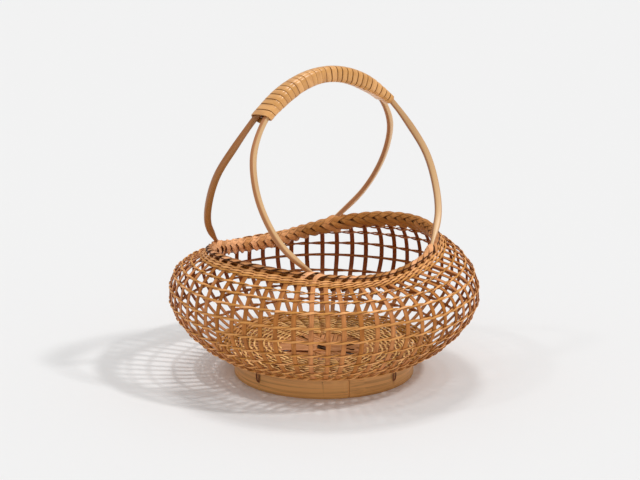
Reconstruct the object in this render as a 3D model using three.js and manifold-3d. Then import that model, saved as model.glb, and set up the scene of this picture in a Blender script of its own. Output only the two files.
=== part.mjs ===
// A bamboo flower basket: a squat round body of openwork twined on a foot ring, with a saddle
// shaped rim and a fixed arched handle of two strips that cross under a cane wrap.
// Millimetres, +Z up. The origin is the middle of the foot ring on the surface it stands on,
// and X runs along the handle.

import * as THREE from "three";
import Module from "manifold-3d";

const wasm = await Module();
wasm.setup();

// Driving dimensions

const CLEARANCE = 0.3; // between neighbouring pieces

// Foot ring: one bent strip whose two scarfed ends lie on each other
const RING_INSET = 1; // from the edge of the flat part of the base
const RING_THICKNESS = 3;
const RING_HEIGHT = 18.8;
const RING_STEP = 6; // degrees
const LAP_AZIMUTH = -114; // degrees, where the outer end of the strip lies
const LAP_ANGLE = 9; // degrees
const LAP_RUNOUT = 3; // degrees from the lap to the full thickness
const LAP_TIP = 0.7; // thickness of each end

// Dark cane ties that hold the foot ring to the base, in two pairs
const TIE_DIAMETER = 1.3;
const TIE_SIDES = 6;
const TIE_HOLE_HEIGHT = 7.8;
const TIE_PAIR_AZIMUTHS = [-128, 52]; // degrees
const TIE_PAIR_HALF_ANGLE = 47.2;

// Four wide splints cross under the middle, and their split ends are the stakes of the wall
const SPLINT_COUNT = 4;
const STAKES_PER_SPLINT_PAIR = 15; // at each end, 8 on one splint and 7 on the next
const STAKE_WIDTH = 3.7;
const STAKE_THICKNESS = 1;
const SPLIT_WIDTH = 0.3; // between the stakes of one splint near the middle
const UNSPLIT_HALF_LENGTH = 30;
const LAYER_RUNOUT = 9; // radial length in which the four layers come to one level
const BASE_RADIUS = 84; // the flat part of the stakes

// Wall, through the middle of the stakes
const BELLY_RADIUS = 141.5;
const BELLY_HEIGHT = 75;
const BASE_HANDLE_OUT = 16; // how the wall leaves the base
const BASE_HANDLE_DOWN = 4;
const BELLY_HANDLE_DOWN = 23;
const BELLY_HANDLE_UP = 38;
const RIM_HANDLE = 18;
const RIM_SLOPE = 56; // degrees above level, of the wall where it meets the rim
const WALL_STEPS = 4; // in the lower wall, and as many in the upper one

// Saddle shaped rim, high and long under the handle
const RIM_RADIUS = 96.7;
const RIM_RADIUS_SWING = 14;
const RIM_HEIGHT = 119.5;
const RIM_HEIGHT_SWING = 8.3;

// Weavers, row by row: a row's share of the wall is 0 at the base, 1 at the belly, 2 at the rim
const BASE_BAND_ROW_SHARES = [0.236];
const OPEN_ROW_SHARES = [0.44, 0.617, 0.771, 0.944, 1.085, 1.246, 1.413, 1.586];
const WEAVER_WIDTH = 2.4;
const WEAVER_THICKNESS = 1;
const WEAVER_SWING = 2.2; // from the middle of the stakes to the middle of the weaver
const RIM_BAND_ROW_COUNT = 3;
const RIM_BAND_PITCH = 2.8;

// Close woven rounds of the base, above and below the stakes
const BASE_WEAVE_INNER_RADIUS = 48;
const BASE_WEAVE_OVERHANG = 2; // of the lower rounds, beyond the flat part of the stakes
const BASE_WEAVE_THICKNESS = 1.6;
const BASE_WEAVE_STEPS = 48;

// Border plaited from the ends of the stakes: a cap on the wall with a long inner face
const BORDER_CAP_DEPTH = 5.7;
const BORDER_FACE_DEPTH = 15;
const BORDER_FACE_THICKNESS = 2.5;
const BORDER_OUTER_REACH = 2.6; // from the middle of the stakes
const BORDER_ROUNDING = 2;

// Handle
const STRIP_WIDTH = 4.6; // along the rim
const STRIP_THICKNESS = 6.4; // of each branch
const STRIP_GRIP_THICKNESS = 5; // where it is thinned under the wrap
const STRIP_FOOT_THICKNESS = 3.2; // where it is pared to enter the border
const STRIP_SWELL_START = 0.38; // of the way from the middle of the grip to a foot
const STRIP_SWELL_END = 0.5;
const STRIP_PARING_START = 0.9;
const STRIP_PARING_END = 0.98;
const STRIP_STEPS = 56;
const GRIP_HALF_LENGTH = 72.8;
const GRIP_TOP = 277.7; // middle of the grip
const GRIP_SAG = 30.5; // how far the ends of the grip lie below its middle
const GRIP_END_SPREAD = 6.8; // of each strip from the middle, where the grip ends
const GRIP_STACKED_SHARE = 0.6; // of the grip, where one strip lies on the other
const GRIP_STEPS = 10;
const FOOT_AZIMUTH = 43.8; // degrees, from the middle plane along the grip
const FOOT_OUT = 0.6; // of each foot from the middle of the stakes at the rim
const FOOT_DEPTH = 4; // of each foot in its socket
// How far a branch bows along X and Y from the straight line between the grip and its foot, at
// equal steps of height
const BRANCH_BOW = [
  [18.9, -5.2],
  [28.5, -4.4],
  [28.8, -3.9],
  [20.9, -2.2],
];

// Flat cane wound round the grip
const WRAP_LOOPS = 24;
const WRAP_STEPS = 18; // in each loop
const WRAP_WIDTH = 5.2;
const WRAP_THICKNESS = 1;
const WRAP_END_MARGIN = 0.5; // from the end of the grip to the last loop
const WRAP_SIDE_ROOM = 1.7; // beside the strips
const WRAP_TOP_ROOM = 1.1; // above and below the strips

// Colours

const FOOT_RING_COLOUR = 0xc3a065;
const SPLINT_COLOUR = 0xb07a4a;
const WEAVER_COLOUR = 0xc68c4e;
const BORDER_COLOUR = 0xb57c48;
const STRIP_COLOUR = 0xcfa96c;
const WRAP_COLOUR = 0xe0a352;
const TIE_COLOUR = 0x4a2a17;

// Places that follow from the driving dimensions

const DEG = Math.PI / 180;
const UP = new THREE.Vector3(0, 0, 1);
const DOWN = new THREE.Vector3(0, 0, -1);
const ROW_REACH = 0.02; // share of the wall, above and below a row, that gives its slope
const RING_OUTER_RADIUS = BASE_RADIUS - RING_INSET;
const STAKE_COUNT = STAKES_PER_SPLINT_PAIR * SPLINT_COUNT;
const STAKE_ANGLE = 360 / STAKE_COUNT;
const BASE_WEAVE_OFFSET = (STAKE_THICKNESS + BASE_WEAVE_THICKNESS) / 2 + CLEARANCE;
const BASE_HEIGHT = RING_HEIGHT + CLEARANCE + BASE_WEAVE_OFFSET + BASE_WEAVE_THICKNESS / 2;
const SPLIT_PITCH = STAKE_WIDTH + SPLIT_WIDTH;
const SPLIT_RADIUS = SPLIT_PITCH / (STAKE_ANGLE * DEG); // where the stakes turn outwards
const LAYER_PITCH = STAKE_THICKNESS + CLEARANCE;
const GRIP_END_HEIGHT = GRIP_TOP - GRIP_SAG;
const STACK_OFFSET = (STRIP_GRIP_THICKNESS + CLEARANCE) / 2;

// The direction of an azimuth in degrees
function outward(azimuth) {
  return new THREE.Vector3(Math.cos(azimuth * DEG), Math.sin(azimuth * DEG), 0);
}

// The direction of growing azimuth
function around(azimuth) {
  return outward(azimuth + 90);
}

// A solid that carries a section along a list of frames. Each frame has a point and the two
// directions of its section, and the section's corners run anticlockwise seen against the run.
function sweep(frames, sections, closed) {
  const corners = [];
  const triangles = [];
  const size = sections[0].length;
  frames.forEach((frame, index) => {
    const section = sections[index % sections.length];
    for (const [side, normal] of section) {
      const corner = frame.point.clone();
      corner.addScaledVector(frame.side, side).addScaledVector(frame.normal, normal);
      corners.push(corner.x, corner.y, corner.z);
    }
  });
  const spans = closed ? frames.length : frames.length - 1;
  for (let span = 0; span < spans; span += 1) {
    const here = span * size;
    const next = ((span + 1) % frames.length) * size;
    for (let corner = 0; corner < size; corner += 1) {
      const after = (corner + 1) % size;
      triangles.push(here + corner, here + after, next + after);
      triangles.push(here + corner, next + after, next + corner);
    }
  }
  if (!closed) {
    const last = (frames.length - 1) * size;
    for (let corner = 1; corner < size - 1; corner += 1) {
      triangles.push(0, corner + 1, corner);
      triangles.push(last, last + corner, last + corner + 1);
    }
  }
  const geometry = new THREE.BufferGeometry();
  geometry.setAttribute("position", new THREE.Float32BufferAttribute(corners, 3));
  geometry.setIndex(triangles);
  return geometry;
}

function rectangle(width, thickness) {
  const side = width / 2;
  const normal = thickness / 2;
  return [[-side, -normal], [side, -normal], [side, normal], [-side, normal]];
}

function regularSection(diameter, sides) {
  const corners = [];
  for (let corner = 0; corner < sides; corner += 1) {
    const angle = (corner + 0.5) * (360 / sides) * DEG;
    corners.push([Math.cos(angle) * diameter / 2, Math.sin(angle) * diameter / 2]);
  }
  return corners;
}

// Joins and cuts

function toSolid(geometry) {
  const mesh = new wasm.Mesh({
    numProp: 3,
    vertProperties: geometry.attributes.position.array,
    triVerts: Uint32Array.from(geometry.index.array),
  });
  return new wasm.Manifold(mesh);
}

function toGeometry(solid) {
  const mesh = solid.getMesh();
  const geometry = new THREE.BufferGeometry();
  geometry.setAttribute("position", new THREE.BufferAttribute(mesh.vertProperties, 3));
  geometry.setIndex(new THREE.BufferAttribute(mesh.triVerts, 1));
  return geometry;
}

// The wall, as straight steps between points on two curves

function rimRadius(azimuth) {
  return RIM_RADIUS + RIM_RADIUS_SWING * Math.cos(2 * azimuth * DEG);
}

function rimHeight(azimuth) {
  return RIM_HEIGHT + RIM_HEIGHT_SWING * Math.cos(2 * azimuth * DEG);
}

// The corners of the wall in the plane of an azimuth, as radius and height
function wallCorners(azimuth) {
  const base = new THREE.Vector2(BASE_RADIUS, BASE_HEIGHT);
  const belly = new THREE.Vector2(BELLY_RADIUS, BELLY_HEIGHT);
  const rim = new THREE.Vector2(rimRadius(azimuth), rimHeight(azimuth));
  const lower = new THREE.CubicBezierCurve(
    base,
    new THREE.Vector2(base.x + BASE_HANDLE_OUT, base.y - BASE_HANDLE_DOWN),
    new THREE.Vector2(belly.x, belly.y - BELLY_HANDLE_DOWN),
    belly,
  );
  const upper = new THREE.CubicBezierCurve(
    belly,
    new THREE.Vector2(belly.x, belly.y + BELLY_HANDLE_UP),
    new THREE.Vector2(
      rim.x + RIM_HANDLE * Math.cos(RIM_SLOPE * DEG),
      rim.y - RIM_HANDLE * Math.sin(RIM_SLOPE * DEG),
    ),
    rim,
  );
  const corners = [];
  for (let step = 0; step <= WALL_STEPS; step += 1) {
    corners.push(lower.getPoint(step / WALL_STEPS));
  }
  for (let step = 1; step <= WALL_STEPS; step += 1) {
    corners.push(upper.getPoint(step / WALL_STEPS));
  }
  return corners;
}

// A point on the wall, at a share of the way from one corner to the next
function wallPoint(azimuth, corners, step, share) {
  const place = corners[step].clone().lerp(corners[step + 1], share);
  return outward(azimuth).multiplyScalar(place.x).setZ(place.y);
}

// A point at a share of the wall: 0 at the base, 1 at the belly and 2 at the rim
function rowPoint(azimuth, share) {
  const step = THREE.MathUtils.clamp(Math.floor(share * WALL_STEPS), 0, 2 * WALL_STEPS - 1);
  return wallPoint(azimuth, wallCorners(azimuth), step, share * WALL_STEPS - step);
}

// A point at a depth in millimetres below the crest of the border
function crestPoint(azimuth, depth) {
  const corners = wallCorners(azimuth);
  const last = corners.length - 2;
  const length = corners[last].distanceTo(corners[last + 1]);
  return wallPoint(azimuth, corners, last, 1 - depth / length);
}

// A frame on the wall, where pointAt gives the wall's point at an azimuth and a distance above:
// up runs up the wall, along runs round it and normal points out of it
function wallFrame(azimuth, pointAt, reach) {
  const up = pointAt(azimuth, reach).sub(pointAt(azimuth, -reach)).normalize();
  const round = pointAt(azimuth + 1, 0).sub(pointAt(azimuth - 1, 0)).normalize();
  const normal = round.cross(up).normalize();
  return { point: pointAt(azimuth, 0), up, along: up.clone().cross(normal), normal };
}

function rowFrame(azimuth, share) {
  return wallFrame(azimuth, (at, above) => rowPoint(at, share + above), ROW_REACH);
}

function crestFrame(azimuth, depth) {
  return wallFrame(azimuth, (at, above) => crestPoint(at, depth - above), WEAVER_WIDTH / 2);
}

// Splints and stakes

// The azimuths and sideways places of the stakes at one end of a splint
function stakesOfSplint(splint) {
  const count = splint % 2 === 0
    ? Math.ceil(STAKES_PER_SPLINT_PAIR / 2)
    : Math.floor(STAKES_PER_SPLINT_PAIR / 2);
  const direction = splint * 180 / SPLINT_COUNT;
  const stakes = [];
  for (let stake = 0; stake < count; stake += 1) {
    const place = stake - (count - 1) / 2;
    stakes.push({ azimuth: direction + place * STAKE_ANGLE, shift: place * SPLIT_PITCH });
  }
  return { direction, count, stakes };
}

function stakeFrames(direction, level, stake) {
  const radial = outward(stake.azimuth);
  const start = UNSPLIT_HALF_LENGTH - STAKE_WIDTH;
  const turn = around(direction).add(around(stake.azimuth)).normalize();
  const frames = [
    {
      point: outward(direction)
        .multiplyScalar(start)
        .addScaledVector(around(direction), stake.shift)
        .setZ(level),
      side: around(direction),
      normal: DOWN,
    },
    { point: radial.clone().multiplyScalar(SPLIT_RADIUS).setZ(level), side: turn, normal: DOWN },
    {
      point: radial.clone().multiplyScalar(SPLIT_RADIUS + LAYER_RUNOUT).setZ(BASE_HEIGHT),
      side: around(stake.azimuth),
      normal: DOWN,
    },
  ];
  for (let corner = 0; corner < 2 * WALL_STEPS; corner += 1) {
    const { point, along, normal } = rowFrame(stake.azimuth, corner / WALL_STEPS);
    frames.push({ point, side: along, normal });
  }
  const end = crestFrame(stake.azimuth, BORDER_CAP_DEPTH + CLEARANCE);
  frames.push({ point: end.point, side: end.along, normal: end.normal });
  return frames;
}

function splintGeometry(splint) {
  const { direction, count, stakes } = stakesOfSplint(splint);
  const level = BASE_HEIGHT + (splint - (SPLINT_COUNT - 1) / 2) * LAYER_PITCH;
  const section = rectangle(STAKE_WIDTH, STAKE_THICKNESS);
  const ends = [-1, 1].map((end) => ({
    point: outward(direction).multiplyScalar(end * UNSPLIT_HALF_LENGTH).setZ(level),
    side: around(direction),
    normal: DOWN,
  }));
  const middleWidth = count * SPLIT_PITCH - SPLIT_WIDTH;
  let solid = toSolid(sweep(ends.reverse(), [rectangle(middleWidth, STAKE_THICKNESS)], false));
  for (const half of [0, 180]) {
    for (const stake of stakes) {
      const turned = { azimuth: stake.azimuth + half, shift: stake.shift };
      const frames = stakeFrames(direction + half, level, turned);
      solid = solid.add(toSolid(sweep(frames.reverse(), [section], false)));
    }
  }
  return toGeometry(solid);
}

// Weavers pass outside one stake and inside the next
function weaverGeometry(frameAt, phase) {
  const frames = [];
  for (let stake = 0; stake < STAKE_COUNT; stake += 1) {
    const azimuth = (stake + 0.5) * STAKE_ANGLE;
    const { point, up, normal } = frameAt(azimuth);
    const swing = (stake + phase) % 2 === 0 ? WEAVER_SWING : -WEAVER_SWING;
    frames.push({ point: point.addScaledVector(normal, swing), side: up, normal });
  }
  return sweep(frames, [rectangle(WEAVER_WIDTH, WEAVER_THICKNESS)], true);
}

function baseWeaveGeometry(outerRadius, height) {
  const half = BASE_WEAVE_THICKNESS / 2;
  const section = [
    [BASE_WEAVE_INNER_RADIUS, height - half],
    [outerRadius, height - half],
    [outerRadius, height + half],
    [BASE_WEAVE_INNER_RADIUS, height + half],
  ];
  const frames = [];
  for (let step = 0; step < BASE_WEAVE_STEPS; step += 1) {
    const azimuth = step * 360 / BASE_WEAVE_STEPS;
    frames.push({ point: new THREE.Vector3(), side: outward(azimuth), normal: UP });
  }
  return sweep(frames.reverse(), [section], true);
}

// Foot ring

function ringGeometry() {
  const inner = RING_OUTER_RADIUS - RING_THICKNESS;
  const lapSlope = (RING_THICKNESS - CLEARANCE - 2 * LAP_TIP) / LAP_ANGLE;
  const frames = [];
  const sections = [];
  const addFrame = (angle, insideRadius, outsideRadius) => {
    frames.push({ point: new THREE.Vector3(), side: outward(LAP_AZIMUTH + angle), normal: UP });
    sections.push([
      [insideRadius, 0],
      [outsideRadius, 0],
      [outsideRadius, RING_HEIGHT],
      [insideRadius, RING_HEIGHT],
    ]);
  };
  const lapInside = (angle) => RING_OUTER_RADIUS - LAP_TIP - angle * lapSlope;
  addFrame(0, lapInside(0), RING_OUTER_RADIUS);
  addFrame(LAP_ANGLE, lapInside(LAP_ANGLE), RING_OUTER_RADIUS);
  for (let angle = LAP_ANGLE + LAP_RUNOUT; angle < 360; angle += RING_STEP) {
    addFrame(angle, inner, RING_OUTER_RADIUS);
  }
  addFrame(360, inner, lapInside(0) - CLEARANCE);
  addFrame(360 + LAP_ANGLE, inner, lapInside(LAP_ANGLE) - CLEARANCE);
  return sweep(frames.reverse(), sections.reverse(), false);
}

const tieAzimuths = TIE_PAIR_AZIMUTHS.flatMap((middle) => [
  middle - TIE_PAIR_HALF_ANGLE,
  middle + TIE_PAIR_HALF_ANGLE,
]);

// A tie runs down outside the ring, in through its hole and up inside
function tieGeometry(azimuth) {
  const reach = CLEARANCE + TIE_DIAMETER / 2;
  const outerLeg = RING_OUTER_RADIUS + reach;
  const innerLeg = RING_OUTER_RADIUS - RING_THICKNESS - reach;
  const top = RING_HEIGHT;
  const radial = outward(azimuth);
  const route = [
    { radius: outerLeg, height: top, side: [1, 0] },
    { radius: outerLeg, height: TIE_HOLE_HEIGHT, side: [1, -1] },
    { radius: innerLeg, height: TIE_HOLE_HEIGHT, side: [-1, -1] },
    { radius: innerLeg, height: top, side: [-1, 0] },
  ];
  const frames = route.map(({ radius, height, side }) => ({
    point: radial.clone().multiplyScalar(radius).setZ(height),
    side: radial.clone().multiplyScalar(side[0]).setZ(side[1]),
    normal: around(azimuth + 180),
  }));
  return sweep(frames, [regularSection(TIE_DIAMETER, TIE_SIDES)], false);
}

function tieHoleGeometry(azimuth) {
  const width = TIE_DIAMETER + 2 * CLEARANCE;
  const ends = [RING_OUTER_RADIUS - 2 * RING_THICKNESS, RING_OUTER_RADIUS + RING_THICKNESS];
  const frames = ends.map((radius) => ({
    point: outward(azimuth).multiplyScalar(radius).setZ(TIE_HOLE_HEIGHT),
    side: around(azimuth),
    normal: UP,
  }));
  return sweep(frames, [rectangle(width, width)], false);
}

// Handle

// The height of one strip above the middle of the grip
function stackOffset(along) {
  const share = Math.abs(along) / GRIP_HALF_LENGTH;
  return STACK_OFFSET * (1 - THREE.MathUtils.smoothstep(share, GRIP_STACKED_SHARE, 1));
}

function gripHeight(along) {
  return GRIP_TOP - GRIP_SAG * (along / GRIP_HALF_LENGTH) ** 2;
}

// The middle line of a strip from foot to foot. The upper strip is 1 and the lower one -1.
function stripCurve(level) {
  const gripEnd = new THREE.Vector3(GRIP_HALF_LENGTH, GRIP_END_SPREAD, GRIP_END_HEIGHT);
  const foot = outward(FOOT_AZIMUTH)
    .multiplyScalar(rimRadius(FOOT_AZIMUTH) + FOOT_OUT)
    .setZ(rimHeight(FOOT_AZIMUTH));
  const branch = [...BRANCH_BOW, [0, 0]].map(([along, across], index, bows) => {
    const point = gripEnd.clone().lerp(foot, (index + 1) / bows.length);
    return point.add(new THREE.Vector3(along, across, 0));
  });
  const points = [];
  const addBranch = (end, branchPoints) => {
    branchPoints.forEach(({ x, y, z }) => {
      points.push(new THREE.Vector3(end * x, -end * level * y, z));
    });
  };
  addBranch(-1, [...branch].reverse());
  for (let step = 0; step <= GRIP_STEPS; step += 1) {
    const along = (2 * step / GRIP_STEPS - 1) * GRIP_HALF_LENGTH;
    const across = -level * GRIP_END_SPREAD * along / GRIP_HALF_LENGTH;
    points.push(new THREE.Vector3(along, across, gripHeight(along) + level * stackOffset(along)));
  }
  addBranch(1, branch);
  return new THREE.CatmullRomCurve3(points, false, "centripetal");
}

// Frames with their side along the rim, so that a strip bends only across its thickness
function stripFrames(level, footDepth) {
  const curve = stripCurve(level);
  const points = curve.getSpacedPoints(STRIP_STEPS);
  const tangents = points.map((_, index) => curve.getTangentAt(index / STRIP_STEPS));
  const middle = STRIP_STEPS / 2;
  const sides = points.map((point, index) => {
    const plan = index === middle ? points[middle + 1] : point;
    const side = new THREE.Vector3(-plan.y, plan.x, 0).multiplyScalar(Math.sign(plan.x));
    return side.projectOnPlane(tangents[index]).normalize();
  });
  points[0].addScaledVector(tangents[0], -footDepth);
  points[STRIP_STEPS].addScaledVector(tangents[STRIP_STEPS], footDepth);
  return points.map((point, index) => ({
    point,
    side: sides[index],
    normal: tangents[index].clone().cross(sides[index]),
  }));
}

// The thickness of a strip at each of its frames
function stripThicknesses() {
  const { lerp, smoothstep } = THREE.MathUtils;
  const thicknesses = [];
  for (let step = 0; step <= STRIP_STEPS; step += 1) {
    const share = Math.abs(2 * step / STRIP_STEPS - 1);
    const swell = smoothstep(share, STRIP_SWELL_START, STRIP_SWELL_END);
    const paring = smoothstep(share, STRIP_PARING_START, STRIP_PARING_END);
    const branch = lerp(STRIP_GRIP_THICKNESS, STRIP_THICKNESS, swell);
    thicknesses.push(lerp(branch, STRIP_FOOT_THICKNESS, paring));
  }
  return thicknesses;
}

// A strip that is larger all round by some room, with feet of some depth
function stripGeometry(level, room, footDepth) {
  const sections = stripThicknesses().map((thickness) => (
    rectangle(STRIP_WIDTH + 2 * room, thickness + 2 * room)
  ));
  return sweep(stripFrames(level, footDepth), sections, false);
}

// A squared oval round the two strips: the point of its outline at an angle
function wrapOutline(along, angle) {
  const spread = GRIP_END_SPREAD * Math.abs(along) / GRIP_HALF_LENGTH;
  const halfWidth = spread + STRIP_WIDTH / 2 + WRAP_SIDE_ROOM + WRAP_THICKNESS / 2;
  const halfHeight =
    stackOffset(along) + STRIP_GRIP_THICKNESS / 2 + WRAP_TOP_ROOM + WRAP_THICKNESS / 2;
  const bulge = (value) => Math.sign(value) * Math.sqrt(Math.abs(value));
  return [halfWidth * bulge(Math.cos(angle)), halfHeight * bulge(Math.sin(angle))];
}

function wrapFrames() {
  const grip = new THREE.QuadraticBezierCurve3(
    new THREE.Vector3(-GRIP_HALF_LENGTH, 0, GRIP_END_HEIGHT),
    new THREE.Vector3(0, 0, GRIP_TOP + GRIP_SAG),
    new THREE.Vector3(GRIP_HALF_LENGTH, 0, GRIP_END_HEIGHT),
  );
  const margin = WRAP_END_MARGIN / grip.getLength();
  const total = WRAP_LOOPS * WRAP_STEPS;
  const frames = [];
  for (let step = 0; step <= total; step += 1) {
    const share = margin + (1 - 2 * margin) * step / total;
    const middle = grip.getPointAt(share);
    const tangent = grip.getTangentAt(share);
    const upward = new THREE.Vector3(0, -1, 0).cross(tangent);
    const angle = (step / WRAP_STEPS - 0.25) * 2 * Math.PI;
    const place = (at) => {
      const [across, above] = wrapOutline(middle.x, at);
      return middle.clone().add(new THREE.Vector3(0, across, 0)).addScaledVector(upward, above);
    };
    const point = place(angle);
    const halfStep = Math.PI / WRAP_STEPS;
    const run = place(angle + halfStep).sub(place(angle - halfStep)).normalize();
    frames.push({ point, side: tangent, normal: run.cross(tangent).normalize() });
  }
  return frames;
}

// The least gap between the loops of the wrap, measured on the corners of its sections
function leastWrapGap(frames) {
  const halfWidth = WRAP_WIDTH / 2;
  let least = Infinity;
  for (let step = 0; step + WRAP_STEPS < frames.length; step += 1) {
    const edge = frames[step].point.clone().addScaledVector(frames[step].side, halfWidth);
    for (const other of frames.slice(step + WRAP_STEPS - 1, step + WRAP_STEPS + 2)) {
      const next = other.point.clone().addScaledVector(other.side, -halfWidth);
      least = Math.min(least, edge.distanceTo(next));
    }
  }
  return least;
}

// Border with a socket for each foot of the handle

function borderGeometry() {
  const inner = WEAVER_SWING + WEAVER_THICKNESS / 2 + CLEARANCE;
  const reach = inner + BORDER_FACE_THICKNESS;
  const section = [
    [-BORDER_CAP_DEPTH, -inner],
    [-BORDER_FACE_DEPTH, -inner],
    [-BORDER_FACE_DEPTH, -reach],
    [-BORDER_ROUNDING, -reach],
    [0, BORDER_ROUNDING - reach],
    [0, BORDER_OUTER_REACH - BORDER_ROUNDING],
    [-BORDER_ROUNDING, BORDER_OUTER_REACH],
    [-BORDER_CAP_DEPTH, BORDER_OUTER_REACH],
  ];
  const frames = [];
  for (let stake = 0; stake < STAKE_COUNT; stake += 1) {
    const { point, up, normal } = crestFrame((stake + 0.5) * STAKE_ANGLE, 0);
    frames.push({ point, side: up, normal });
  }
  let border = toSolid(sweep(frames, [section], true));
  for (const level of [1, -1]) {
    border = border.subtract(toSolid(stripGeometry(level, CLEARANCE, FOOT_DEPTH + CLEARANCE)));
  }
  return toGeometry(border);
}

// Assembly

const basket = new THREE.Group();

function addPiece(name, geometry, colour, roughness) {
  const material = new THREE.MeshStandardMaterial({ color: colour, roughness, metalness: 0 });
  const piece = new THREE.Mesh(geometry, material);
  piece.name = name;
  basket.add(piece);
}

let ring = toSolid(ringGeometry());
for (const azimuth of tieAzimuths) {
  ring = ring.subtract(toSolid(tieHoleGeometry(azimuth)));
}
addPiece("foot_ring", toGeometry(ring), FOOT_RING_COLOUR, 0.55);
tieAzimuths.forEach((azimuth, index) => {
  addPiece(`ring_tie_${index + 1}`, tieGeometry(azimuth), TIE_COLOUR, 0.6);
});

for (let splint = 0; splint < SPLINT_COUNT; splint += 1) {
  addPiece(`split_splint_${splint + 1}`, splintGeometry(splint), SPLINT_COLOUR, 0.6);
}

addPiece(
  "base_weave_lower",
  baseWeaveGeometry(BASE_RADIUS + BASE_WEAVE_OVERHANG, BASE_HEIGHT - BASE_WEAVE_OFFSET),
  WEAVER_COLOUR,
  0.6,
);
addPiece(
  "base_weave_upper",
  baseWeaveGeometry(BASE_RADIUS, BASE_HEIGHT + BASE_WEAVE_OFFSET),
  WEAVER_COLOUR,
  0.6,
);

[...BASE_BAND_ROW_SHARES, ...OPEN_ROW_SHARES].forEach((share, index) => {
  const geometry = weaverGeometry((azimuth) => rowFrame(azimuth, share), index);
  addPiece(`wall_weaver_${index + 1}`, geometry, WEAVER_COLOUR, 0.6);
});

for (let row = 0; row < RIM_BAND_ROW_COUNT; row += 1) {
  const depth = BORDER_CAP_DEPTH + CLEARANCE + WEAVER_WIDTH / 2 + row * RIM_BAND_PITCH;
  const geometry = weaverGeometry((azimuth) => crestFrame(azimuth, depth), row);
  addPiece(`rim_weaver_${row + 1}`, geometry, WEAVER_COLOUR, 0.6);
}

addPiece("plaited_border", borderGeometry(), BORDER_COLOUR, 0.6);
addPiece("handle_strip_upper", stripGeometry(1, 0, FOOT_DEPTH), STRIP_COLOUR, 0.5);
addPiece("handle_strip_lower", stripGeometry(-1, 0, FOOT_DEPTH), STRIP_COLOUR, 0.5);

const wrap = wrapFrames();
console.log(`least gap of the wrap to itself: ${leastWrapGap(wrap).toFixed(2)} mm`);
addPiece(
  "handle_wrap",
  sweep(wrap, [rectangle(WRAP_WIDTH, WRAP_THICKNESS)], false),
  WRAP_COLOUR,
  0.5,
);

export default basket;
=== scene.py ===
"""Looks of a twined bamboo flower basket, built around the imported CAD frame.

The basket stands on a bent bamboo ring. Four wide splints cross under its middle, and their split
ends are the stakes of a squat, open, twined wall. The stakes are folded over at the saddle shaped
rim into a plaited border, and two crossing strips under a cane wrap make the arched handle.
Sizes are in millimetres and angles in degrees, until a strip is laid in the frame's metres.
"""

import logging
import math
from dataclasses import dataclass, field
from enum import Enum
from functools import cached_property, partial
from typing import Any, Callable, Sequence

import bmesh
import bpy
import numpy as np
from mathutils import Euler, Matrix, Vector

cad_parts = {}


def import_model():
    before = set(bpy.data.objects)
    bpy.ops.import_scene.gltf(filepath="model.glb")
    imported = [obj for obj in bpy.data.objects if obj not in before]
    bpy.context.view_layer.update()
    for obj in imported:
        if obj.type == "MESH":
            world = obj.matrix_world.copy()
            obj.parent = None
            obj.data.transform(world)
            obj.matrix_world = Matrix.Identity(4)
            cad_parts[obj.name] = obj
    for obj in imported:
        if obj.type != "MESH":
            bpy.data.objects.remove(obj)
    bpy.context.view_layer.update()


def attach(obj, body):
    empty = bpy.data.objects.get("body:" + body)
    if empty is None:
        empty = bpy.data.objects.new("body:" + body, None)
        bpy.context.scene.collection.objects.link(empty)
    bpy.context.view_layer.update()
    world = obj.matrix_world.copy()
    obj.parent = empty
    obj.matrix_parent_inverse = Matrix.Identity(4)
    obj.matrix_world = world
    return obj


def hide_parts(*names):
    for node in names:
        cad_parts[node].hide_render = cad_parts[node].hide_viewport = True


MM = 0.001
BODY = "root"
UP = np.array([0.0, 0.0, 1.0])
CURVE_STEPS = 24
MULTIPLY = {"operation": "MULTIPLY"}
MIX_COLOURS = {"data_type": "RGBA"}

log = logging.getLogger("basket")

Frames = tuple[np.ndarray, np.ndarray, np.ndarray]
Socket = bpy.types.NodeSocket
AddNode = Callable[..., bpy.types.Node]


# Directions and curves


def unit(vectors: np.ndarray) -> np.ndarray:
    """Return the vectors at length one."""
    return vectors / np.linalg.norm(vectors, axis=-1, keepdims=True)


def outward(azimuth: np.ndarray | float) -> np.ndarray:
    """Return the level direction of each azimuth."""
    angle = np.radians(np.asarray(azimuth, float))
    return np.stack([np.cos(angle), np.sin(angle), np.zeros_like(angle)], axis=-1)


def angle_between(azimuth: np.ndarray | float, other: np.ndarray | float) -> np.ndarray | float:
    """Return the turn from another azimuth, from -180 to 180 degrees."""
    return (azimuth - other + 180.0) % 360.0 - 180.0


def smoothstep(value: np.ndarray, low: float, high: float) -> np.ndarray:
    """Return a smooth rise from 0 at low to 1 at high."""
    share = np.clip((value - low) / (high - low), 0.0, 1.0)
    return share * share * (3.0 - 2.0 * share)


def flattened(wave: np.ndarray, power: float) -> np.ndarray:
    """Return a wave between -1 and 1 with its crests flattened by a power under one."""
    return np.sign(wave) * np.abs(wave) ** power


def heading(points: np.ndarray) -> np.ndarray:
    """Return the direction of a line at each of its points."""
    return unit(np.gradient(points, axis=0))


def square_to(run: np.ndarray, vectors: np.ndarray) -> np.ndarray:
    """Return the vectors turned square to a run, at length one."""
    return unit(vectors - run * np.sum(vectors * run, axis=1, keepdims=True))


def walked(points: np.ndarray) -> np.ndarray:
    """Return the length along a line at each of its points."""
    return np.concatenate([[0.0], np.cumsum(np.linalg.norm(np.diff(points, axis=0), axis=1))])


def places_along(line: np.ndarray, wanted: np.ndarray) -> np.ndarray:
    """Return the places on a line at the wanted lengths along it."""
    length = walked(line)
    return np.stack([np.interp(wanted, length, values) for values in line.T], axis=1)


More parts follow.
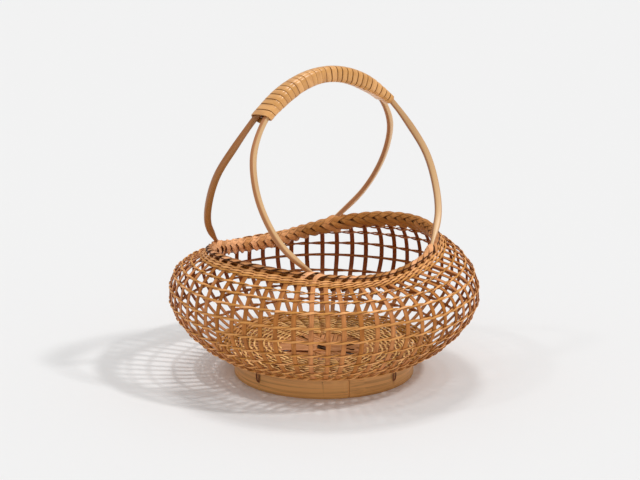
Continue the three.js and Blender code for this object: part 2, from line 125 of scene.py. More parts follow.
def through(points: np.ndarray, count: int) -> np.ndarray:
    """Draw a smooth line through points, without overshoot where they lie close together.

    Args:
        points: The points in order, one to a row.
        count: How many places to return.

    Returns:
        Places at equal steps along the line.
    """
    ends = [2 * points[0] - points[1], 2 * points[-1] - points[-2]]
    run = np.vstack([ends[0], points, ends[1]])
    gaps = np.sqrt(np.linalg.norm(np.diff(run, axis=0), axis=1))
    share = np.linspace(0.0, 1.0, CURVE_STEPS, endpoint=False)[:, None]
    stretches = []
    for index in range(1, len(run) - 2):
        before, here, after = gaps[index - 1 : index + 2]
        a, b, c, d = run[index - 1 : index + 3]
        start = here * ((b - a) / before - (c - a) / (before + here) + (c - b) / here)
        end = here * ((c - b) / here - (d - b) / (here + after) + (d - c) / after)
        cubic = 2 * b - 2 * c + start + end
        square = 3 * c - 3 * b - 2 * start - end
        stretches.append(((cubic * share + square) * share + start) * share + b)
    line = np.vstack([*stretches, points[-1]])
    return places_along(line, np.linspace(0.0, walked(line)[-1], count))


# Strips: modelled once as straight stock, then laid along a route


class StockShape(Enum):
    """The section that a strip is split or scraped to."""

    FLAT = "flat"
    ROUND = "round"


@dataclass(frozen=True)
class Stock:
    """Straight stock that strips are cut from.

    Attributes:
        width: Across the strip.
        thickness: From its skin to its inner side.
        shape: The kind of section.
        edge: How far the long edges of a flat strip are rounded.
        facets: Facets of each rounded edge, or sides of round stock.
    """

    width: float
    thickness: float
    shape: StockShape = StockShape.FLAT
    edge: float = 0.3
    facets: int = 1


@dataclass
class Route:
    """Where a strip lies: its middle line, the way across it, and the way out of its skin.

    Attributes:
        points: The middle line.
        sides: Directions across the strip.
        normals: Directions out of its skin.
        spread: Share of the stock's width at each place.
        depth: Share of the stock's thickness at each place.
    """

    points: np.ndarray
    sides: np.ndarray
    normals: np.ndarray
    spread: np.ndarray | float = 1.0
    depth: np.ndarray | float = 1.0


@dataclass
class StripBench:
    """Makes straight stock with the modelling tools and lays copies of it along routes.

    Attributes:
        blanks: The stock made so far, by its section and its number of places.
        laid: How many strips have been laid.
        most_parts: The most parts that one round of cuts can make of an edge.
        shortest_part: Less than any part of a blank, whose whole length is one unit.
        grain_shift: How far further along the grain each next strip is cut, so that no two match.
    """

    blanks: dict[tuple[Stock, int], bpy.types.Mesh] = field(default_factory=dict)
    laid: int = 0
    most_parts: int = 100
    shortest_part: float = 0.0005
    grain_shift: float = 173.0

    def blank(self, stock: Stock, stations: int) -> bpy.types.Mesh:
        """Return straight stock that is one unit long, cut into equal lengths.

        Args:
            stock: The section.
            stations: How many places along the strip can be moved.

        Returns:
            The mesh of the stock, kept for the next strip of the same kind.
        """
        key = (stock, stations)
        if key in self.blanks:
            return self.blanks[key]
        bpy.ops.object.select_all(action="DESELECT")
        if stock.shape is StockShape.ROUND:
            bpy.ops.mesh.primitive_cylinder_add(vertices=stock.facets, radius=0.5, depth=1.0)
        else:
            bpy.ops.mesh.primitive_cube_add(size=1.0)
        bar = bpy.context.object
        bpy.ops.object.mode_set(mode="EDIT")
        bpy.ops.transform.resize(value=(stock.width * MM, stock.thickness * MM, 1.0))
        if stock.shape is StockShape.FLAT:
            self.select_long_edges(bar)
            bpy.ops.mesh.bevel(
                offset=stock.edge * MM,
                offset_type="OFFSET",
                segments=stock.facets,
                affect="EDGES",
            )
        for parts in self.cutting_rounds(stations - 1):
            self.select_long_edges(bar)
            bpy.ops.mesh.subdivide(number_cuts=parts - 1)
        bpy.ops.object.mode_set(mode="OBJECT")
        mesh = bar.data.copy()
        bpy.data.objects.remove(bar)
        self.blanks[key] = mesh
        return mesh

    def cutting_rounds(self, lengths: int) -> tuple[int, ...]:
        """Plan the rounds of cuts that divide a bar.

        Args:
            lengths: How many equal lengths are wanted.

        Returns:
            The parts that each round makes of every length it finds.
        """
        if lengths <= self.most_parts:
            return (lengths,)
        for parts in range(self.most_parts, 1, -1):
            if lengths % parts == 0 and lengths // parts <= self.most_parts:
                return (parts, lengths // parts)
        raise ValueError(f"{lengths} lengths can't be cut in two rounds")

    def select_long_edges(self, bar: bpy.types.Object) -> None:
        """Select only the edges that run along a bar.

        Args:
            bar: The bar, in edit mode.
        """
        bpy.ops.mesh.select_all(action="DESELECT")
        bpy.ops.mesh.select_mode(type="EDGE")
        shape = bmesh.from_edit_mesh(bar.data)
        for edge in shape.edges:
            start, end = edge.verts
            edge.select_set(abs(start.co.z - end.co.z) > self.shortest_part)
        shape.select_flush_mode()
        bmesh.update_edit_mesh(bar.data)

    def lay(
        self, stock: Stock, route: Route, tone: np.ndarray | float = 0.5, edges: float = 1.0
    ) -> bpy.types.Object:
        """Lay one strip along a route.

        Args:
            stock: The section of the strip.
            route: Where the strip lies.
            tone: How dark (0) or light (1) the strip is, along it or as a whole.
            edges: How much of the finish's painted edge colour this strip shows.

        Returns:
            The strip, with its place in its mesh and its straight lengths kept for the grain.
        """
        count = len(route.points)
        mesh = self.blank(stock, count).copy()
        flat = np.empty(len(mesh.vertices) * 3)
        mesh.vertices.foreach_get("co", flat)
        from_middle, from_core, along = flat.reshape(-1, 3).T / [[MM], [MM], [1.0]]
        station = np.rint((along + 0.5) * (count - 1)).astype(int)
        across = from_middle * np.broadcast_to(route.spread, (count,))[station]
        out = from_core * np.broadcast_to(route.depth, (count,))[station]
        run = np.gradient(route.points, axis=0)
        turned = np.sum(np.cross(route.sides, route.normals) * run) < 0
        side = -route.sides if turned else route.sides
        places = (
            route.points[station]
            + side[station] * across[:, None]
            + route.normals[station] * out[:, None]
        )
        mesh.vertices.foreach_set("co", (places * MM).ravel())
        length = walked(route.points)[station] + self.grain_shift * self.laid
        straight = np.stack([length, across, out], axis=1) * MM
        self.keep(mesh, "straight", "FLOAT_VECTOR", straight)
        self.keep(mesh, "edge", "FLOAT", from_middle / stock.width * 2 * edges)
        self.keep(mesh, "tone", "FLOAT", np.broadcast_to(tone, (count,))[station])
        self.laid += 1
        strip = bpy.data.objects.new("strip", mesh)
        bpy.context.scene.collection.objects.link(strip)
        return strip

    @staticmethod
    def keep(mesh: bpy.types.Mesh, name: str, kind: str, values: np.ndarray) -> None:
        """Keep values at a mesh's points, where the finishes read them.

        Args:
            mesh: The mesh of a strip.
            name: What the values are called.
            kind: Blender's type of the attribute.
            values: A number or a vector for each point.
        """
        layer = mesh.attributes.new(name, kind, "POINT")
        key = "vector" if kind == "FLOAT_VECTOR" else "value"
        layer.data.foreach_set(key, values.astype(np.float32).ravel())

    @staticmethod
    def gather(
        name: str,
        strips: Sequence[bpy.types.Object],
        material: bpy.types.Material,
        smooth_angle: float = 50.0,
    ) -> bpy.types.Object:
        """Join strips into one piece and dress it.

        Args:
            name: The piece's name.
            strips: The laid strips.
            material: The finish of the piece.
            smooth_angle: Edges sharper than this stay sharp.

        Returns:
            The finished piece.
        """
        bpy.ops.object.select_all(action="DESELECT")
        for strip in strips:
            strip.select_set(True)
        bpy.context.view_layer.objects.active = strips[0]
        if len(strips) > 1:
            bpy.ops.object.join()
        piece = bpy.context.view_layer.objects.active
        piece.name = piece.data.name = name
        bpy.ops.object.shade_smooth_by_angle(angle=math.radians(smooth_angle))
        piece.data.materials.clear()
        piece.data.materials.append(material)
        bpy.ops.object.select_all(action="DESELECT")
        return piece


def cut_away(piece: bpy.types.Object, cutter: bpy.types.Object) -> None:
    """Cut a shape out of a piece.

    Args:
        piece: What is cut.
        cutter: The shape, which is left as it is.
    """
    cut = piece.modifiers.new("cut", "BOOLEAN")
    cut.object = cutter
    cut.operation = "DIFFERENCE"
    cut.solver = "EXACT"
    bpy.ops.object.select_all(action="DESELECT")
    bpy.context.view_layer.objects.active = piece
    bpy.ops.object.modifier_apply(modifier=cut.name)


def settle(piece: bpy.types.Object, slot: str, *nodes: str) -> None:
    """Fix a piece to the basket, in place of the CAD nodes that it stands for.

    Args:
        piece: The finished piece.
        slot: The record's material slot; not used.
        *nodes: The CAD nodes that it replaces.
    """
    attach(piece, BODY)
    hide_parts(*nodes)
    log.info("%s: %d faces, in place of %s", piece.name, len(piece.data.polygons), ", ".join(nodes))


# Finishes


def colour(hex_value: str) -> tuple[float, float, float, float]:
    """Turn an sRGB hex value into a linear colour.

    Args:
        hex_value: Six digits, such as c68c4e.

    Returns:
        Red, green and blue, and a full alpha.
    """
    parts = [int(hex_value[start : start + 2], 16) / 255 for start in (0, 2, 4)]
    red, green, blue = (
        part / 12.92 if part <= 0.04045 else ((part + 0.055) / 1.055) ** 2.4 for part in parts
    )
    return red, green, blue, 1.0


def add_node(
    material: bpy.types.Material,
    kind: str,
    settings: dict[str, Any] | None = None,
    **sockets: Any,
) -> bpy.types.Node:
    """Add one shader node with its settings, values and links.

    Args:
        material: The material that gets the node.
        kind: The node's type.
        settings: Properties of the node.
        **sockets: Values or output sockets for its inputs, with _ for a space, or inN by number.

    Returns:
        The new node.
    """
    tree = material.node_tree
    node = tree.nodes.new(kind)
    for key, value in (settings or {}).items():
        setattr(node, key, value)
    for key, value in sockets.items():
        number = key[2:]
        is_number = key.startswith("in") and number.isdigit()
        socket = node.inputs[int(number) if is_number else key.replace("_", " ")]
        if isinstance(value, Socket):
            tree.links.new(value, socket)
        else:
            socket.default_value = value
    return node


def empty_material(name: str) -> bpy.types.Material:
    """Start a material that has no nodes yet.

    Args:
        name: The material's name.

    Returns:
        The material.
    """
    material = bpy.data.materials.new(name)
    material.use_nodes = True
    material.node_tree.nodes.clear()
    return material


@dataclass(frozen=True)
class SplitBamboo:
    """Split bamboo or cane: long fine fibres, a closed skin outside and a duller inner side.

    Attributes:
        inner: Colour of the inner side and the cut edges.
        fibre: Colour of the darker fibres.
        fibre_width: Width of the streaks, as coarse as they need to show.
        fibre_levels: Levels of the noise between which a streak comes up.
        fibre_share: How much of the fibres' colour a full streak shows.
        stain: Colour of the stain that gathers in blotches.
        stain_share: How much of the stain shows.
        stain_levels: Levels of the noise between which a blotch comes up.
        tone_range: How far neighbouring strips differ in lightness.
        tone_lift: Share of that by which the lightest strips are lighter.
        richness: Shares of it by which dark and light strips have a fuller colour.
        roughness_swing: How far streaks are smoother and rougher than the rest.
        coat: Oiled or worn sheen over it.
        shine: Strength of the skin's own reflection, 0.5 for a closed smooth skin.
        relief: Height of the fibres.
        skin_depth: Distance from the middle of a strip where its skin's colour is full.
        edge_share: How much of the edge colour shows at the very edge: painted shade, and a painted
            highlight where that colour is pale.
        edge_start: Where that starts, from 0 at the middle of the strip to 1 at its edge.
        edge_tones: Tones between which the edge colour comes up.
        edge_dark_tone: How much of the edge colour is left below them.
        painted_shade_inner: Colour of the inner side up the wall, darker there as painted shade for
            the shade inside the wall.
        painted_shade_from: Height where that painted shade starts.
        painted_shade_to: Height where it is complete.
        painted_split_shade: How light the strip is painted inside a split, where its tone falls to
            0: painted shade.
        split_tone: The tone below which that painted shade comes in.
    """

    name: str
    skin: str
    inner: str
    fibre: str
    fibre_length: float = 22.0
    fibre_width: float = 0.5
    fibre_levels: tuple[float, float] = (0.52, 0.72)
    fibre_share: float = 0.75
    stain: str = "7a4524"
    stain_share: float = 0.3
    stain_length: float = 16.0
    stain_width: float = 6.0
    stain_levels: tuple[float, float] = (0.45, 0.75)
    tone_range: float = 0.3
    tone_lift: float = 0.6
    richness: tuple[float, float] = (0.25, -0.2)
    roughness: float = 0.5
    roughness_swing: tuple[float, float] = (-0.08, 0.12)
    coat: float = 0.05
    shine: float = 0.5
    relief: float = 0.05
    skin_depth: float = 0.3
    edge_colour: str = "7a4524"
    edge_share: float = 0.25
    edge_start: float = 0.75
    edge_tones: tuple[float, float] = (0.2, 0.6)
    edge_dark_tone: float = 1.0
    painted_shade_inner: str = ""
    painted_shade_from: float = 32.0
    painted_shade_to: float = 62.0
    painted_split_shade: float = 1.0
    split_tone: float = 0.08

    def material(self) -> bpy.types.Material:
        """Build the finish as a procedural material that follows each strip's own length.

        Returns:
            The material, which reads what the bench keeps at the points of each strip.
        """
        material = empty_material(self.name)
        add = partial(add_node, material)
        straight = add("ShaderNodeAttribute", {"attribute_name": "straight"}).outputs["Vector"]
        tone = add("ShaderNodeAttribute", {"attribute_name": "tone"}).outputs["Fac"]
        fibres = self.drawn_out(
            add, straight, self.fibre_length, self.fibre_width, Detail=3.0, Roughness=0.6
        )
        blotches = self.drawn_out(add, straight, self.stain_length, self.stain_width, Detail=2.0)
        grained = self.grained(add, straight, fibres)
        edge_painted_and_stained = self.edge_painted_and_stained(add, grained, tone, blotches)
        bump = add("ShaderNodeBump", Height=fibres, Strength=0.6, Distance=self.relief * MM)
        smoother, rougher = self.roughness_swing
        rough = add(
            "ShaderNodeMapRange",
            Value=fibres,
            To_Min=self.roughness + smoother,
            To_Max=self.roughness + rougher,
        )
        shader = add(
            "ShaderNodeBsdfPrincipled",
            Base_Color=self.toned(add, edge_painted_and_stained, tone),
            Roughness=rough.outputs["Result"],
            Normal=bump.outputs["Normal"],
            IOR=1.46,
            Specular_IOR_Level=self.shine,
            Coat_Weight=self.coat,
            Coat_Roughness=0.3,
        )
        add("ShaderNodeOutputMaterial", Surface=shader.outputs["BSDF"])
        return material

    @staticmethod
    def drawn_out(
        add: AddNode, straight: Socket, length: float, width: float, **detail: float
    ) -> Socket:
        """Draw a noise that is stretched along the strip.

        Args:
            add: Adds a node to the material.
            straight: The place in the straight strip.
            length: How long its grains are.
            width: How wide and deep they are.
            **detail: Settings of the noise.

        Returns:
            The noise, from 0 to 1.
        """
        lengthwise, across = 1.0 / (length * MM), 1.0 / (width * MM)
        place = add("ShaderNodeMapping", Vector=straight, Scale=(lengthwise, across, across))
        vector = place.outputs["Vector"]
        return add("ShaderNodeTexNoise", Vector=vector, Scale=1.0, **detail).outputs["Fac"]

    def grained(self, add: AddNode, straight: Socket, fibres: Socket) -> Socket:
        """Colour the skin side and the inner side, with their darker fibres.

        Args:
            add: Adds a node to the material.
            straight: The place in the straight strip.
            fibres: The noise of the fibres.

        Returns:
            The colour.
        """
        out = add("ShaderNodeSeparateXYZ", Vector=straight).outputs["Z"]
        skin_side = add(
            "ShaderNodeMapRange",
            {"interpolation_type": "SMOOTHSTEP"},
            Value=out,
            From_Min=-self.skin_depth * MM,
            From_Max=self.skin_depth * MM,
        ).outputs["Result"]
        inner = self.inner_side(add)
        sides = add("ShaderNodeMix", MIX_COLOURS, in0=skin_side, in6=inner, in7=colour(self.skin))
        low, high = self.fibre_levels
        streak = add(
            "ShaderNodeMapRange", Value=fibres, From_Min=low, From_Max=high, To_Max=self.fibre_share
        ).outputs["Result"]
        below = sides.outputs[2]
        streaked = add("ShaderNodeMix", MIX_COLOURS, in0=streak, in6=below, in7=colour(self.fibre))
        return streaked.outputs[2]

    def inner_side(self, add: AddNode) -> Any:
        """Colour the inner side, with painted shade that darkens it up the wall where the finish
        asks for it.

        Args:
            add: Adds a node to the material.

        Returns:
            The colour, as a value or a socket.
        """
        if not self.painted_shade_inner:
            return colour(self.inner)
        # Painted shade: the inner side darkens with height, between the finish's two heights.
        place = add("ShaderNodeTexCoord").outputs["Object"]
        height = add("ShaderNodeSeparateXYZ", Vector=place).outputs["Z"]
        painted_shade = add(
            "ShaderNodeMapRange",
            Value=height,
            From_Min=self.painted_shade_from * MM,
            From_Max=self.painted_shade_to * MM,
        ).outputs["Result"]
        raw, dark = colour(self.inner), colour(self.painted_shade_inner)
        return add("ShaderNodeMix", MIX_COLOURS, in0=painted_shade, in6=raw, in7=dark).outputs[2]

    def edge_painted_and_stained(self, add: AddNode, grained: Socket, tone: Socket, blotches: Socket) -> Socket:
        """Paint shade along the long edges, a highlight instead where the edge colour is pale, and
        stain the strip.

        Args:
            add: Adds a node to the material.
            grained: The colour so far.
            tone: The strip's tone.
            blotches: The noise of the stain.

        Returns:
            The colour.
        """
        # Painted shade along the long edges; a pale edge colour paints a highlight there instead.
        side = add("ShaderNodeAttribute", {"attribute_name": "edge"}).outputs["Fac"]
        edge = add("ShaderNodeMath", {"operation": "ABSOLUTE"}, in0=side).outputs["Value"]
        painted_edge = add(
            "ShaderNodeMapRange", Value=edge, From_Min=self.edge_start, To_Max=self.edge_share
        ).outputs["Result"]
        low, high = self.edge_tones
        left = add(
            "ShaderNodeMapRange",
            Value=tone,
            From_Min=low,
            From_Max=high,
            To_Min=self.edge_dark_tone,
        ).outputs["Result"]
        share = add("ShaderNodeMath", MULTIPLY, in0=painted_edge, in1=left).outputs["Value"]
        at_edge = colour(self.edge_colour)
        edged = add("ShaderNodeMix", MIX_COLOURS, in0=share, in6=grained, in7=at_edge).outputs[2]
        low, high = self.stain_levels
        stained = add(
            "ShaderNodeMapRange",
            Value=blotches,
            From_Min=low,
            From_Max=high,
            To_Max=self.stain_share,
        ).outputs["Result"]
        stain = colour(self.stain)
        return add("ShaderNodeMix", MIX_COLOURS, in0=stained, in6=edged, in7=stain).outputs[2]

    def toned(self, add: AddNode, edge_painted_and_stained: Socket, tone: Socket) -> Socket:
        """Make each strip lighter or darker by its tone, with near-black painted shade inside a
        split.

        Args:
            add: Adds a node to the material.
            edge_painted_and_stained: The colour so far.
            tone: The strip's tone.

        Returns:
            The finished colour.
        """
        lightness = add(
            "ShaderNodeMapRange",
            Value=tone,
            To_Min=1.0 - self.tone_range,
            To_Max=1.0 + self.tone_range * self.tone_lift,
        ).outputs["Result"]
        # Painted shade: the faces of a cut have tone 0, which turns them near-black.
        shade = add(
            "ShaderNodeMapRange", Value=tone, From_Max=self.split_tone, To_Min=self.painted_split_shade
        ).outputs["Result"]
        light = add("ShaderNodeMath", MULTIPLY, in0=lightness, in1=shade).outputs["Value"]
        dark_gain, light_gain = self.richness
        richness = add(
            "ShaderNodeMapRange",
            Value=tone,
            To_Min=1.0 + self.tone_range * dark_gain,
            To_Max=1.0 + self.tone_range * light_gain,
        ).outputs["Result"]
        toned = add("ShaderNodeHueSaturation", Color=edge_painted_and_stained, Value=light, Saturation=richness)
        return toned.outputs["Color"]


@dataclass(frozen=True)
class BasketFinishes:
    """The bamboo and cane of the basket, each named for what it is."""

    # Sapwood of a thick culm, planed and oiled: warm tan with long straight grain
    ring: SplitBamboo = SplitBamboo(
        "oiled_bent_bamboo",
        skin="ecae66",
        inner="c48f55",
        fibre="9a6630",
        fibre_length=90.0,
        fibre_width=0.9,
        stain="a8743a",
        stain_share=0.55,
        stain_length=120.0,
        stain_width=2.6,
        tone_range=0.0,
        roughness=0.42,
        coat=0.1,
    )
    # Split bamboo with a smoked stain: reddish tan outside, with painted shade on the inner side up
    # the wall and near-black painted shade inside the splits
    stake: SplitBamboo = SplitBamboo(
        "smoked_split_bamboo",
        skin="d48a4b",
        inner="cf8e58",
        fibre="8c5228",
        fibre_length=30.0,
        stain="7f4623",
        stain_share=0.6,
        shine=0.15,
        painted_shade_inner="964c22",
        painted_split_shade=0.15,
    )
    # Fine bamboo splints with less stain: warm orange brown, with painted shade along their edges
    # and on their inner side up the wall
    weaver: SplitBamboo = SplitBamboo(
        "fine_bamboo_splint",
        skin="f6b065",
        inner="d49850",
        fibre="bb7030",
        fibre_length=16.0,
        fibre_width=0.35,
        stain="8f5024",
        stain_share=0.4,
        roughness=0.45,
        shine=0.2,
        edge_colour="7a3c1a",
        edge_share=0.45,
        painted_shade_inner="aa6530",
        painted_shade_from=27.0,
        painted_shade_to=36.0,
    )
    # Splints that keep their raw colour in the floor: golden straw, with painted shade along their
    # edges
    floor: SplitBamboo = SplitBamboo(
        "raw_bamboo_splint",
        skin="ffca7e",
        inner="a4662c",
        fibre="f0ac60",
        fibre_length=14.0,
        fibre_width=0.35,
        stain="c07c3e",
        stain_share=0.25,
        tone_range=0.22,
        roughness=0.45,
        shine=0.3,
        edge_colour="a05c26",
        edge_share=0.5,
    )
    # Folded stake ends, rubbed by hands: pinkish tan with a worn sheen, with painted shade along
    # their edges where they overlap and a dark inner side that the hoops show as painted shade
    border: SplitBamboo = SplitBamboo(
        "folded_bamboo",
        skin="f0a96b",
        inner="8a5026",
        fibre="ba7444",
        fibre_length=18.0,
        stain="a8662f",
        stain_share=0.35,
        tone_range=0.46,
        roughness=0.45,
        coat=0.1,
        shine=0.2,
        edge_colour="4a230e",
        edge_share=0.9,
        edge_start=0.72,
    )
    # Peeled bamboo strip, scraped smooth: tan, with a painted highlight along its corners where its
    # tone is light
    strip: SplitBamboo = SplitBamboo(
        "peeled_bamboo_strip",
        skin="bf7c48",
        inner="b0703e",
        fibre="a66a3a",
        fibre_length=90.0,
        fibre_width=0.6,
        stain="a06c38",
        stain_length=70.0,
        tone_range=0.34,
        roughness=0.36,
        coat=0.2,
        edge_colour="f0c48c",
        edge_share=0.95,
        edge_start=0.55,
        edge_dark_tone=0.15,
    )
    # Split rattan with its glossy skin outside: golden and even, with a fine line of painted shade
    # at each edge
    cane: SplitBamboo = SplitBamboo(
        "glossy_split_cane",
        skin="f2b268",
        inner="c48a45",
        fibre="d8964c",
        fibre_length=40.0,
        stain="a8682e",
        stain_share=0.45,
        tone_range=0.1,
        roughness=0.3,
        coat=0.4,
        edge_colour="8a5520",
        edge_share=0.6,
        edge_start=0.86,
    )
    # Thin cane darkened by smoke and handling: dull dark brown
    tie: SplitBamboo = SplitBamboo(
        "dark_cane",
        skin="8c4c22",
        inner="4a2814",
        fibre="5a2f16",
        fibre_length=12.0,
        fibre_width=0.4,
        stain="4a2612",
        stain_share=0.4,
        tone_range=0.0,
        roughness=0.6,
        coat=0.0,
    )


# The shape that all of the weave follows


@dataclass(frozen=True)
class BodyShape:
    """The wall as one smooth surface through the middle of the stakes.

    A share of the wall is 0 at the base, 1 at the belly and 2 at the rim. The rim is a saddle:
    its radius and height swing twice round the basket. A handle here is an arm of a curve.

    Attributes:
        base_handle: How far out and up the wall's curve leaves the floor.
        belly_handle_down: Length of the curve's arm below the belly.
        belly_handle_up: Length of the curve's arm above the belly.
        rim_handle: Length of the curve's arm at the rim.
        rim_slope: How far the wall leans in at the rim, from level.
        foot_azimuth: Azimuth of the first foot of the handle, which the others mirror.
    """

    stakes: int = 60
    base_radius: float = 84.0
    base_height: float = 21.5
    base_handle: tuple[float, float] = (16.0, -4.0)
    belly_radius: float = 141.5
    belly_height: float = 75.0
    belly_handle_down: float = 23.0
    belly_handle_up: float = 38.0
    rim_handle: float = 18.0
    rim_slope: float = 56.0
    rim_radius: float = 96.7
    rim_radius_swing: float = 14.0
    rim_height: float = 119.5
    rim_height_swing: float = 8.3
    foot_azimuth: float = 43.8

    @property
    def stake_angle(self) -> float:
        """Degrees from stake to stake."""
        return 360.0 / self.stakes

    @property
    def foot_azimuths(self) -> np.ndarray:
        """Azimuths of the four feet of the handle on the rim."""
        return np.array([self.foot_azimuth, 180.0 - self.foot_azimuth]) * [[1.0], [-1.0]]

    def place(self, azimuth: np.ndarray, share: np.ndarray) -> np.ndarray:
        """Find places on the wall.

        Args:
            azimuth: Where round the basket.
            share: Where up the wall.

        Returns:
            The places.
        """
        azimuth, share = np.broadcast_arrays(np.asarray(azimuth, float), np.asarray(share, float))
        swing = np.cos(2 * np.radians(azimuth))
        rim = np.stack(
            [
                self.rim_radius + self.rim_radius_swing * swing,
                self.rim_height + self.rim_height_swing * swing,
            ],
            axis=-1,
        )
        slope = math.radians(self.rim_slope)
        rim_in = rim + self.rim_handle * np.array([math.cos(slope), -math.sin(slope)])
        base = np.array([self.base_radius, self.base_height])
        belly = np.array([self.belly_radius, self.belly_height])
        below_belly = belly - np.array([0.0, self.belly_handle_down])
        above_belly = belly + np.array([0.0, self.belly_handle_up])
        lower = self.cubic([base, base + np.array(self.base_handle), below_belly, belly], share)
        upper = self.cubic([belly, above_belly, rim_in, rim], share - 1.0)
        profile = np.where((share <= 1.0)[..., None], lower, upper)
        return outward(azimuth) * profile[..., :1] + UP * profile[..., 1:]

    @staticmethod
    def cubic(points: Sequence[np.ndarray], share: np.ndarray) -> np.ndarray:
        """Follow a cubic Bezier curve.

        Args:
            points: Its start, its two arms and its end.
            share: Where along it, from 0 to 1.

        Returns:
            The places.
        """
        late = share[..., None]
        early = 1.0 - late
        return (
            early**3 * points[0]
            + 3 * early**2 * late * points[1]
            + 3 * early * late**2 * points[2]
            + late**3 * points[3]
        )

    def frame(self, azimuth: np.ndarray, share: np.ndarray) -> Frames:
        """Find places on the wall and its directions there.

        Args:
            azimuth: Where round the basket.
            share: Where up the wall.

        Returns:
            The places, the way up the wall and the way out of it.
        """
        azimuth = np.asarray(azimuth, float)
        step, reach = 0.5, 0.01
        up = unit(self.place(azimuth, share + reach) - self.place(azimuth, share - reach))
        around = unit(self.place(azimuth + step, share) - self.place(azimuth - step, share))
        normal = unit(np.cross(around, up))
        return self.place(azimuth, share), up, normal

    def crest_share(self, depth: float) -> float:
        """Return the share of the wall at a depth below the rim."""
        return 2.0 - depth / (3.0 * self.rim_handle)


@dataclass
class SubAssembly:
    """A part of the basket that is built and dressed by itself.

    Attributes:
        bench: Makes its strips and lays them.
        finishes: What its strips are dressed with.
        shape: The surface that all of the weave follows.
    """

    bench: StripBench
    finishes: BasketFinishes
    shape: BodyShape

    def build(self) -> None:
        """Build and dress the pieces."""
        raise NotImplementedError

    def finish(
        self,
        name: str,
        strips: Sequence[bpy.types.Object],
        material: bpy.types.Material,
        slot: str,
        *nodes: str,
        smooth_angle: float = 50.0,
    ) -> None:
        """Join strips into a piece, dress it and fix it to the basket.

        Args:
            name: The piece's name.
            strips: The laid strips.
            material: Their finish.
            slot: The record's material slot.
            *nodes: The CAD nodes that they stand for.
            smooth_angle: Edges sharper than this stay sharp.
        """
        settle(self.bench.gather(name, strips, material, smooth_angle), slot, *nodes)


# Foot ring and its ties


